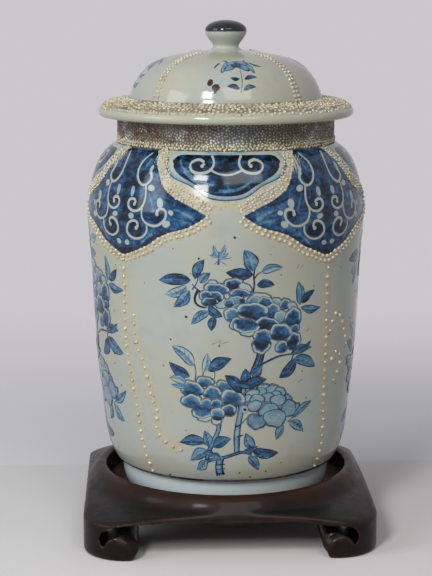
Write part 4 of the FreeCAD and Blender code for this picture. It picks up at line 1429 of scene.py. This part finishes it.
@dataclass
class Jar:
    """The thrown jar with its neck, painting and slip beads."""
    foot_radius: float = 79.0
    foot_bulge: float = 2.9
    foot_flare: float = 3.8
    foot_height: float = 14.0
    step_height: float = 52.6
    step_points: tuple[Point, ...] = ((86.9, 0.8), (89.1, 3.7))
    neck_step: float = 1.7
    wall: float = 6.0
    ring_width: float = 8.0
    base_recess: float = 8.0
    floor_thickness: float = 8.0
    floor_corner: float = 6.0
    floor_blend: float = 4.0
    corner_round: float = 1.0
    lip_round: float = 1.6
    collar_seam: float = 3.0
    bare_height: float = 1.2
    bare_width: float = 9.0
    wide_shifts: Point = (1.0, 4.6)
    close_shifts: tuple[float, ...] = (0.9, 3.2, 5.6, 8.0)
    wall_shares: tuple[Point, ...] = (
        (0.8595, 0.1294), (0.9027, 0.2388), (0.9412, 0.3908), (0.9633, 0.5231), (0.9768, 0.6690),
        (1.0000, 0.8075), (0.9578, 0.9060), (0.8724, 0.9734))
    bead_lines: tuple[tuple[Point, ...], ...] = (
        ((86.5, 224), (87, 180), (88.5, 150), (90.5, 120), (93, 100), (94, 80), (94, 58)),
        ((-86.5, 224), (-88, 190), (-87, 150), (-84, 130), (-82, 115), (-80, 100), (-78, 85), (-75, 70),
         (-73, 58)),
        ((-78, 182), (-77, 165), (-72, 150), (-68, 140), (-66, 130), (-64, 118), (-60, 110), (-61, 95),
         (-55, 86), (-46, 82), (-39, 80)),
        ((92, 168), (95, 175), (100, 181), (108, 175), (113, 166), (120, 153)),
        ((97, 145), (104, 150), (110, 144), (108, 134), (103, 127)))

    def __post_init__(self) -> None:
        """Read the jar's heights and widths from the frame and work out its outer face."""
        neck_low, neck_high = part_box("jar_neck")
        self.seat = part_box("jar_lower_body")[0].z / MM
        self.neck_radius = neck_high.x / MM
        self.neck_base = neck_low.z / MM
        self.neck_top = neck_high.z / MM
        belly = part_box("jar_upper_body")[1].x / MM
        body = self.neck_base - self.seat
        points = [(self.foot_radius + self.foot_flare, self.step_height)]
        points += [(r, self.step_height + z) for r, z in self.step_points]
        points += [(r * belly, self.seat + z * body) for r, z in self.wall_shares]
        points.append((self.neck_radius + self.neck_step, self.neck_base))
        self.outer = smooth_path(points, 150)
        self.surface = TurnedSurface(smooth_path(points, 900), True)

    def body_outline(self) -> list[Point]:
        """The closed outline of wall, floor and foot ring."""
        base, seat = self.seat + self.base_recess, self.seat
        floor = base + self.floor_thickness
        ring, bore = self.foot_radius - self.ring_width, self.neck_radius - self.wall
        foot = smooth_path([(self.foot_radius, seat),
                            (self.foot_radius + self.foot_bulge, seat + self.foot_height / 2),
                            (self.foot_radius + self.foot_flare, self.step_height)], 12)
        inner = self.outer[::3] + path_sides(self.outer)[::3] * self.wall
        low, high = floor + self.floor_blend, self.neck_base - self.wall
        inside = [(r, z) for r, z in inner[::-1].tolist() if low < z < high]
        outline = [(0.0, base), (ring, base), (ring, seat), *map(tuple, foot.tolist()),
                   *map(tuple, self.outer[1:].tolist()), (bore, self.neck_base),
                   (bore, high), *inside,
                   (inside[-1][0] - self.floor_corner, floor), (0.0, floor)]
        return soften(outline, self.corner_round)

    def neck_outline(self) -> list[Point]:
        """The closed outline of the collar."""
        radius, base, top = self.neck_radius, self.neck_base, self.neck_top
        bore, seam = radius - self.wall, (radius - self.collar_seam, base)
        return soften([seam, (radius, base), (radius, top), (bore, top), (bore, base), seam],
                      self.lip_round)[:-1]

    def build(self, finishes: Finishes, beads: BeadMaker) -> None:
        """Make the jar's pieces and put them on its body.

        Args:
            finishes: The materials.
            beads: What sets the slip beads.
        """
        wall = turned_piece("jar_wall_and_foot", self.body_outline(), [finishes.glaze, finishes.bisque], 256)
        for polygon in wall.data.polygons:
            low = polygon.center.z / MM < self.seat + self.bare_height and polygon.normal.z < 0.5
            out = math.hypot(polygon.center.x, polygon.center.y) / MM
            polygon.material_index = int(low and out > self.foot_radius - self.bare_width)
        carry(wall, Body.JAR, ("jar_lower_body", "jar_upper_body"))
        neck = turned_piece("jar_collar", self.neck_outline(), [finishes.neck], 256)
        carry(neck, Body.JAR, ("jar_neck",))
        painter = Painter(finishes.inks)
        for index, side in enumerate(("front", "right", "back", "left")):
            strips = self.bead_lines if index % 2 == 0 else ()
            panel = painter.panel(self.surface, index, "painted_panel_" + side, strips)
            carry(panel, Body.JAR)
        carry(painter.shoulder(self.surface), Body.JAR)
        self.set_beads(finishes, beads)

    def set_beads(self, finishes: Finishes, beads: BeadMaker) -> None:
        """Set the slip beads of the borders, the upright lines and the collar.

        Args:
            finishes: The materials.
            beads: What sets them.
        """
        lappet = Lappet()
        sides = (lappet.left_upper, mirrored(lappet.left_upper, lappet.middle))
        turns = [VIEW_TURN + angle for angle in PANEL_ANGLES]
        wide = [BeadRow(turn, lappet.lower(), -shift) for turn in turns for shift in self.wide_shifts]
        close = [BeadRow(turn, side, shift)
                 for turn in turns for shift in self.close_shifts for side in sides]
        lines = [BeadRow(turn, route) for turn in turns[::2] for route in self.bead_lines]
        slip = finishes.slip
        domes = joined("jar_slip_domes", [
            beads.rows("jar_border_beads", self.surface, wide, pitch=4.6, radius=1.45, finish=slip, seed=11),
            beads.rows("jar_close_beads", self.surface, close, pitch=2.6, radius=1.0, finish=slip, seed=12,
                       wander=0.6),
            beads.rows("jar_line_beads", self.surface, lines, pitch=6.5, radius=1.5, finish=slip, seed=13)])
        carry(domes, Body.JAR, ("jar_slip_beads",))
        base, top = self.neck_base, self.neck_top
        collar = TurnedSurface(np.array([[self.neck_radius, base], [self.neck_radius, top]]), True)
        fine = beads.scatter("collar_fine_beads", collar, (base + 0.6, top - 1.6), spacing=1.9,
                             radius=0.85, finish=finishes.pale_and_lit_neck_beads, seed=5)
        ring = [(0.0, base + 1.5), (180.0 * ARC_PER_DEGREE, base + 1.3), (359.0 * ARC_PER_DEGREE, base + 1.5)]
        foot = beads.rows("collar_foot_beads", collar, [BeadRow(0.0, ring), BeadRow(1.0, ring, 2.2)],
                          pitch=3.2, radius=1.15, finish=finishes.flange_beads, seed=15)
        carry(joined("collar_domes", [fine, foot]), Body.JAR)


@dataclass
class Lid:
    """The domed lid with its knob, its rolled flange, painting and slip beads."""
    edge_height: float = 7.4
    edge_inset: float = 3.4
    edge_droop: float = 1.2
    dome_inset: float = 4.6
    crown_radius: float = 13.0
    wall: float = 5.5
    side_height: float = 13.0
    ring_wall: float = 5.0
    seat_inset: float = 9.0
    hollow_gap: float = 2.2
    corner_round: float = 0.9
    knob_sunk: float = 0.05
    dome_shares: tuple[Point, ...] = (
        (0.9450, 0.2500), (0.9350, 0.3100), (0.9150, 0.4000), (0.8700, 0.5450), (0.7663, 0.7409),
        (0.6100, 0.8745), (0.4200, 0.9480), (0.2900, 0.9800))
    flange_points: tuple[Point, ...] = ((97.8, 5.6), (95.2, 8.3), (89, 10.7), (82, 11.6), (76.0, 12.3))
    knob_widest_share: float = 0.66
    knob_shares: tuple[Point, ...] = ((0.61, 0.13), (0.71, 0.26), (0.86, 0.39), (0.97, 0.52))
    strand_angle: float = 43.0
    strand_half_gap: float = 1.7
    strand_foot: float = 1.5
    strand_top_radius: float = 30.0
    strand_shares: tuple[float, ...] = (0.3, 0.6, 0.85, 1.0)

    def __post_init__(self) -> None:
        """Read the lid's heights and widths from the frame and work out its outer face."""
        low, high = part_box("lid_dome")
        knob_low, knob_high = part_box("lid_knob")
        self.base, self.crown = low.z / MM, high.z / MM
        self.flange_radius = high.x / MM
        self.hollow_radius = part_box("lid_locating_ring")[1].x / MM - self.ring_wall
        self.knob_base, self.knob_top = knob_low.z / MM, knob_high.z / MM
        self.knob_radius = knob_high.x / MM
        dome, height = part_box("jar_neck")[1].x / MM - self.dome_inset, self.crown - self.base
        points = [(r * dome, self.base + z * height) for r, z in self.dome_shares]
        points.append((self.crown_radius, self.crown))
        self.outer = smooth_path(points, 60)
        self.surface = TurnedSurface(smooth_path(points, 600), False)

    def dome_outline(self) -> list[Point]:
        """The closed outline of flange and dome; the roll hangs a little below the seat."""
        edge = self.flange_radius - self.edge_inset
        middle = self.base + self.edge_height / 2 - self.edge_droop
        angles = [math.radians(-90 + 18 * step) for step in range(9)]
        roll = [(edge + self.edge_inset * math.cos(a), middle + self.edge_height / 2 * math.sin(a))
                for a in angles]
        inner = self.outer[::3] + path_sides(self.outer)[::3] * self.wall
        side = self.hollow_radius - self.hollow_gap
        inside = [(r, z) for r, z in inner[::-1].tolist() if self.crown_radius < r < side]
        outline = [(self.hollow_radius, self.base), (edge - self.seat_inset, self.base), *roll,
                   *map(tuple, self.flange_slope()), *map(tuple, self.outer.tolist()),
                   (0.001, self.crown), (0.001, self.crown - self.wall), *inside,
                   (self.hollow_radius, self.base + self.side_height)]
        return soften(outline, self.corner_round)

    def flange_slope(self) -> np.ndarray:
        """The rounded top of the flange from its roll up to the foot of the dome."""
        return smooth_path([(r, self.base + z) for r, z in self.flange_points], 14)

    def knob_outline(self) -> list[Point]:
        """The outline of the knob from its foot to its crown."""
        tall, foot = self.knob_top - self.knob_base, self.knob_base - self.knob_sunk
        widest = self.knob_base + tall * self.knob_widest_share
        stem = [(self.crown_radius, foot)]
        stem += [(self.knob_radius * r, self.knob_base + tall * z) for r, z in self.knob_shares]
        side = smooth_path(stem + [(self.knob_radius, widest)], 28).tolist()
        angles = [math.radians(90 * step / 13) for step in range(1, 13)]
        crown = [(self.knob_radius * math.cos(a), widest + (self.knob_top - widest) * math.sin(a))
                 for a in angles]
        return [(0.0, foot), *map(tuple, side), *crown, (0.0, self.knob_top)]

    def build(self, finishes: Finishes, beads: BeadMaker) -> None:
        """Make the lid's pieces and put them on its body.

        Args:
            finishes: The materials.
            beads: What sets the slip beads.
        """
        dome = turned_piece("lid_dome_and_flange", self.dome_outline(), [finishes.lid_glaze], 240)
        carry(dome, Body.LID, ("lid_dome",))
        knob = turned_piece("lid_bud_knob", self.knob_outline(), [finishes.knob_glaze], 96)
        carry(knob, Body.LID, ("lid_knob",))
        dress(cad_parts["lid_locating_ring"], finishes.bisque)
        carry(Painter(finishes.inks).lid(self.surface), Body.LID)
        key, radius = self.surface.key, self.surface.radius
        top = float(np.interp(self.strand_top_radius, radius[::-1], key[::-1]))
        rows = []
        for side in (-self.strand_half_gap, self.strand_half_gap):
            route = []
            for up in (self.strand_foot, *(top * share for share in self.strand_shares)):
                aside = side * REFERENCE_RADIUS / float(np.interp(up, key, radius))
                route.append((self.strand_angle * ARC_PER_DEGREE + aside, up))
            rows += [BeadRow(angle, route) for angle in PANEL_ANGLES]
        strands = beads.rows("lid_strand_beads", self.surface, rows, pitch=3.3, radius=1.35,
                             finish=finishes.slip, seed=14)
        slope = TurnedSurface(self.flange_slope(), False)
        band = beads.scatter("lid_flange_beads", slope, (0.4, float(slope.key[-1]) - 0.3), spacing=3.1,
                             radius=1.4, finish=finishes.flange_beads, seed=6, sides=8)
        carry(joined("lid_slip_domes", [strands, band]), Body.LID, ("lid_slip_beads",))


SAW_REACH = 116.0
SAW_TOP = 60.0
SAW_FLOOR = -1.0


@dataclass(frozen=True)
class LegShape:
    """One side's leg seen from the front, in mm from the middle, with its inward scroll."""
    side: float
    throat: float
    roll: float
    half_wide: float
    lean: float
    dip: float = 0.0
    half_high: float = 9.7

    def outline(self) -> list[Point]:
        """The leg's edge from under the apron, down the throat, round the scroll and out along the floor."""
        deep, dip, wide = self.throat, self.dip, self.half_wide
        edge = [(40, 29.2), (deep - 39, 28.9), (deep - 20, 27.3 - dip), (deep - 9, 25.8 - dip / 2),
                (deep - 3, 22.8), (deep + 0.4, 17.8), (deep + 0.2, 13.2), (deep - 1.6, 9.6)]
        turns = [math.radians(14 + 12 * i) for i in range(18)]
        roll = [(self.roll + wide * math.cos(a) - self.lean * math.sin(a), self.half_high * (1 + math.sin(a)))
                for a in turns]
        foot = [(self.roll - wide * 0.66, 1.6), (self.roll - wide * 0.45, 0.4), (self.roll - wide * 0.2, 0.0),
                (self.roll, SAW_FLOOR), (SAW_REACH, SAW_FLOOR)]
        return [(self.side * x, z) for x, z in (*smooth_path(edge, 40), *roll, *foot)]


@dataclass
class Stand:
    """The carved stand: one block with four scroll legs, its seat board and its pins."""
    half_width: float = 113.0
    plan_corner: float = 33.0
    slope: tuple[Point, ...] = ((99.2, 47.0), (101.3, 46.8), (103.4, 45.8), (105.3, 44.0), (107.1, 41.6),
                                (109.0, 38.8), (110.8, 36.9), (113.5, 35.7), (119, 34.5), (128, 32.6),
                                (147, 27.4))
    knee_height: float = 27.2
    knee_width: float = 4.5
    knee_roundness: float = 2.2
    seat_board: Point = (102.8, 24.4)
    inner_radius: float = 50.0
    seat_height: float = 31.5
    recess: float = 96.5
    rim_points: tuple[Point, ...] = ((96.5, 45.2), (97.0, 46.2), (97.9, 46.8))
    side_arch: tuple[Point, ...] = ((40, 29.2), (54, 28.6), (61, 25.6), (65, 20), (66, 13), (63, 7),
                                    (57, 3.5), (56, -1))
    legs: tuple[LegShape, LegShape] = (LegShape(-1.0, 99.5, 83.5, 13.0, 0.6),
                                       LegShape(1.0, 95.0, 80.5, 12.0, 2.8, 1.8))
    bar_half: float = 120.0
    segments: int = 288
    voxel: float = 1.0
    leg_joint: float = 28.6
    scroll_bevel: float = 5.0
    wear_depth: float = 0.25

    def reach(self, turn: float) -> float:
        """How far the rounded square plan reaches in one direction."""
        across, along = sorted((abs(math.cos(turn)), abs(math.sin(turn))))
        middle = self.half_width - self.plan_corner
        straight = self.half_width / along
        if straight * across <= middle:
            return straight
        half = middle * (across + along)
        return half + math.sqrt(half * half - 2 * middle * middle + self.plan_corner ** 2)

    def section(self, turn: float) -> list[Point]:
        """The block's closed outline in one direction: recess, rim, slope, outer face and inner face."""
        out, start = self.reach(turn), self.slope[0][0]
        path = smooth_path(list(self.slope), 80)
        slope = []
        for step in range(45):
            at = start + (out - start) * math.sin(math.pi / 2 * step / 44)
            past = max(0.0, 1 - (out - at) / self.knee_width)
            level = float(np.interp(at, path[:, 0], path[:, 1])) - self.knee_height
            knee = (1 - past ** self.knee_roundness) ** (1 / self.knee_roundness)
            slope.append((at, self.knee_height + level * knee))
        board, under = self.seat_board
        return [(self.recess, self.seat_height), *self.rim_points, *slope, (out, 3.0), (out - 0.6, 1.0),
                (out - 2.0, 0.0), (self.inner_radius, 0.0), (self.inner_radius, under), (board, under),
                (board, self.seat_height)]

    def block(self) -> Piece:
        """The solid block before its arches are sawn."""
        turns = [2 * math.pi * i / self.segments for i in range(self.segments)]
        rings = [self.section(t) for t in turns]
        count = len(rings[0])
        place = [(r * math.cos(t) * MM, r * math.sin(t) * MM, z * MM)
                 for t, ring in zip(turns, rings) for r, z in ring]
        faces = []
        for i in range(self.segments):
            here, after = i * count, (i + 1) % self.segments * count
            faces += [(here + j, here + (j + 1) % count, after + (j + 1) % count, after + j)
                      for j in range(count)]
        return new_piece("stand_carving", place, faces, [])

    def saw(self, name: str, outline: list[Point], along_x: bool) -> Piece:
        """A bar with the outline as its section, to cut the block down to.

        Args:
            name: The bar's name.
            outline: The closed outline across the bar.
            along_x: Whether the bar runs along X, or else along Y.

        Returns:
            The bar.
        """
        count = len(outline)
        place = [(w * MM, u * MM, z * MM) if along_x else (u * MM, w * MM, z * MM)
                 for w in (-self.bar_half, self.bar_half) for u, z in outline]
        sides = [(j, (j + 1) % count, count + (j + 1) % count, count + j) for j in range(count)]
        ends = [tuple(range(count - 1, -1, -1)), tuple(range(count, 2 * count))]
        bar = new_piece(name, place, sides + ends, [])
        bar.data = reworked(name, bar.data,
                            lambda work: bmesh.ops.recalc_face_normals(work, faces=work.faces[:]))
        return bar

    def carving(self) -> Piece:
        """The top and legs as one: the block sawn to its outlines from the front and the side."""
        left, right = (leg.outline() for leg in self.legs)
        side = [tuple(p) for p in smooth_path(list(self.side_arch), 40)] + [(SAW_REACH, SAW_FLOOR)]
        high = [(SAW_REACH, SAW_TOP), (-SAW_REACH, SAW_TOP)]
        bars = [self.saw("front_outline", right + high + left[::-1], False),
                self.saw("side_outline", side + high + [(-y, z) for y, z in side[::-1]], True)]
        whole = self.block()
        for bar in bars:
            cut = whole.modifiers.new(bar.name, "BOOLEAN")
            cut.operation, cut.solver, cut.object = "INTERSECT", "EXACT", bar
        remesh = whole.modifiers.new("voxels", "REMESH")
        remesh.mode, remesh.voxel_size = "VOXEL", self.voxel * MM
        smooth = whole.modifiers.new("rub", "SMOOTH")
        smooth.factor, smooth.iterations = 0.5, 3
        mesh = bpy.data.meshes.new_from_object(whole.evaluated_get(bpy.context.evaluated_depsgraph_get()))
        for used in bars + [whole]:
            bpy.data.objects.remove(used)
        self.bevel_and_mark(mesh)
        return linked("carved_stand", mesh)

    def bevel_and_mark(self, mesh: bpy.types.Mesh) -> None:
        """Round the faces of the scrolls and store how far each place stands out."""
        count = len(mesh.vertices)
        flat = np.empty(count * 3, np.float32)
        mesh.vertices.foreach_get("co", flat)
        place = flat.reshape(-1, 3).astype(float)
        ends = np.empty(len(mesh.edges) * 2, np.int32)
        mesh.edges.foreach_get("vertices", ends)
        first, second = ends[0::2], ends[1::2]
        number = np.maximum(np.bincount(first, minlength=count) + np.bincount(second, minlength=count), 1)
        for leg in self.legs:
            wide = (place[:, 0] * leg.side / MM - leg.roll) / leg.half_wide
            rise = (place[:, 2] / MM - leg.half_high) / leg.half_high
            share = np.clip((np.hypot(wide, rise) - 0.45) / 0.5, 0, 1) * np.clip(0.75 - wide, 0, 1)
            share *= np.clip(rise + 1.0, 0, 1)
            face = np.clip((np.abs(place[:, 1]) / MM - 100) / 12, 0, 1)
            face = face * (rise < 1.15) * (place[:, 0] * leg.side > 0)
            depth = self.scroll_bevel * MM * share ** 1.5 * face * (wide > -1.3)
            place[:, 1] -= np.sign(place[:, 1]) * depth
        mesh.vertices.foreach_set("co", place.astype(np.float32).ravel())
        mesh.update()
        mesh.vertices.foreach_get("normal", flat)
        value = place
        for _ in range(3):
            sides = [np.bincount(first, value[second, i], count) + np.bincount(second, value[first, i], count)
                     for i in range(3)]
            value = np.stack(sides, axis=1) / number[:, None]
        bulge = ((place - value) * flat.reshape(-1, 3)).sum(axis=1) / (self.wear_depth * MM)
        layer = mesh.attributes.new("wear", "FLOAT", "POINT")
        layer.data.foreach_set("value", np.clip(bulge, 0, 1).astype(np.float32))

    def halve(self, work: bmesh.types.BMesh, above: bool) -> None:
        """Keep the top or else the legs of the carving, closed at the joint between them."""
        bmesh.ops.bisect_plane(work, geom=work.verts[:] + work.edges[:] + work.faces[:], dist=1e-7,
                               plane_co=(0, 0, self.leg_joint * MM), plane_no=(0, 0, 1),
                               clear_inner=above, clear_outer=not above)
        bmesh.ops.holes_fill(work, edges=[e for e in work.edges if e.is_boundary], sides=0)

    def keep_corner(self, work: bmesh.types.BMesh, corner: str) -> None:
        """Keep the leg at one corner."""
        front, left = corner.startswith("front"), corner.endswith("left")
        away = [v for v in work.verts if (v.co.y < 0) != front or (v.co.x < 0) != left]
        bmesh.ops.delete(work, geom=away, context="VERTS")

    def build(self, finishes: Finishes) -> None:
        """Make the stand's pieces and put them on its body.

        Args:
            finishes: The materials.
        """
        carving = self.carving()
        meshes = {"stand_top": reworked("carved_top", carving.data, lambda work: self.halve(work, True))}
        feet = reworked("carved_feet", carving.data, lambda work: self.halve(work, False))
        bpy.data.objects.remove(carving)
        for corner in ("front_left", "front_right", "back_left", "back_right"):
            meshes["stand_leg_" + corner] = reworked("carved_leg_" + corner, feet,
                                                     lambda work: self.keep_corner(work, corner))
        for node, mesh in meshes.items():
            piece = linked(mesh.name, mesh)
            mesh.materials.clear()
            mesh.materials.append(finishes.hardwood)
            mesh.shade_smooth()
            mesh.set_sharp_from_angle(angle=math.radians(60))
            carry(piece, Body.STAND, (node,))
        dress(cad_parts["stand_seat_board"], finishes.board)
        dress(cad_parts["stand_seat_pins"], finishes.bamboo)


@dataclass
class Studio:
    """The camera at the photograph's place, a pale floor and soft lamps."""
    focal_pixels: float = 1650.0
    frame_height: float = 576.0
    pitch: float = 10.5
    distance: float = 1.32
    aim_height: float = 0.188
    sideways: float = 0.00768
    wall_line: float = 0.145
    floor_half: float = 6.0
    lamp_aim: tuple[float, float, float] = (0.0, 0.0, 0.2)
    room_strength: float = 0.24
    wall_colour: Colour = srgb(202, 199, 204)

    def camera(self) -> None:
        """Place the camera."""
        data = bpy.data.cameras.new("camera")
        camera = linked("camera", data)
        data.sensor_width = 36.0
        data.lens = data.sensor_width * self.focal_pixels / self.frame_height
        turn, pitch = math.radians(VIEW_TURN), math.radians(self.pitch)
        back = Vector((math.sin(turn) * math.cos(pitch), -math.cos(turn) * math.cos(pitch), math.sin(pitch)))
        right = Vector((math.cos(turn), math.sin(turn), 0.0))
        camera.location = Vector((0, 0, self.aim_height)) - right * self.sideways + back * self.distance
        camera.rotation_mode = "QUATERNION"
        camera.rotation_quaternion = (-back).to_track_quat("-Z", "Y")
        bpy.context.scene.camera = camera

    def floor(self) -> None:
        """Lay the pale floor, a little greyer behind the object and glowing like the wall far off."""
        graph = Graph("pale_floor")
        seen = graph.seen()
        behind = graph.ramp(graph.axis("Y"), self.wall_line - 0.002, self.wall_line + 0.004)
        lit = graph.mix(srgb(204, 200, 198), srgb(198, 197, 202), behind)
        pale = graph.mix(srgb(247, 243, 242), srgb(254, 252, 255), behind)
        graph.gloss(Base_Color=graph.mix(lit, pale, seen), Roughness=0.8, IOR=1.02)
        glow = graph.add("ShaderNodeEmission", {"Color": self.wall_colour})
        far = graph.math("MAXIMUM", graph.ramp(graph.axis("Y"), -0.02, 0.9),
                         graph.ramp(graph.squared_distance(), 1.0, 7.0))
        blend = graph.add("ShaderNodeMixShader", {0: graph.times(far, seen), 1: graph.shader.outputs[0],
                                                  2: glow.outputs[0]})
        graph.set(graph.output.inputs[0], blend.outputs[0])
        half = self.floor_half
        piece = new_piece("floor", [(-half, -half, 0), (half, -half, 0), (half, half, 0), (-half, half, 0)],
                          [(0, 1, 2, 3)], [graph.material])

    def lamp(self, name: str, place: tuple[float, float, float], size: Point, power: float,
             tint: tuple[float, float, float] = (1.0, 1.0, 1.0)) -> None:
        """Hang one soft rectangular lamp that points at the aim.

        Args:
            name: Its name.
            place: Where it hangs.
            size: Its width and height in metres.
            power: Watts.
            tint: Its colour.
        """
        data = bpy.data.lights.new(name, "AREA")
        data.shape = "RECTANGLE"
        data.size, data.size_y = size
        data.energy = power
        data.color = tint
        lamp = linked(name, data)
        lamp.location = place
        lamp.rotation_mode = "QUATERNION"
        lamp.rotation_quaternion = (Vector(self.lamp_aim) - Vector(place)).to_track_quat("-Z", "Y")

    def sky(self) -> None:
        """Light the room softly, and show the wall's colour behind the object."""
        world = bpy.data.worlds.new("soft_room")
        bpy.context.scene.world = world
        world.use_nodes = True
        nodes = NodeTools(world.node_tree)
        room = nodes.tree.nodes["Background"]
        nodes.set(room.inputs[0], srgb(206, 208, 214))
        nodes.set(room.inputs[1], self.room_strength)
        shown = nodes.add("ShaderNodeBackground", {0: self.wall_colour})
        blend = nodes.add("ShaderNodeMixShader", {0: nodes.seen(), 1: room.outputs[0], 2: shown.outputs[0]})
        nodes.set(nodes.tree.nodes["World Output"].inputs[0], blend.outputs[0])

    def build(self) -> None:
        """Set the camera, the floor, the lamps and the sky."""
        self.camera()
        self.floor()
        self.lamp("soft_left", (-1.95, -0.85, 1.05), (1.0, 1.3), 13.5, (0.88, 0.95, 1.0))
        self.lamp("soft_front", (0.4, -1.7, 1.85), (1.2, 0.9), 10.5, (1.0, 0.99, 0.96))
        self.lamp("window_upper", (-0.70, -1.36, 1.46), (0.34, 0.34), 8.0)
        self.lamp("window_lower", (-0.70, -1.58, 1.06), (0.34, 0.34), 8.0)
        self.sky()
        bpy.context.scene.view_settings.view_transform = "Standard"


def main() -> None:
    """Build the studio, the stand, the jar and the lid."""
    logging.basicConfig(level=logging.INFO, format="%(message)s")
    Studio().build()
    finishes, beads = Finishes(), BeadMaker()
    Stand().build(finishes)
    Jar().build(finishes, beads)
    Lid().build(finishes, beads)


if __name__ == "__main__":
    main()
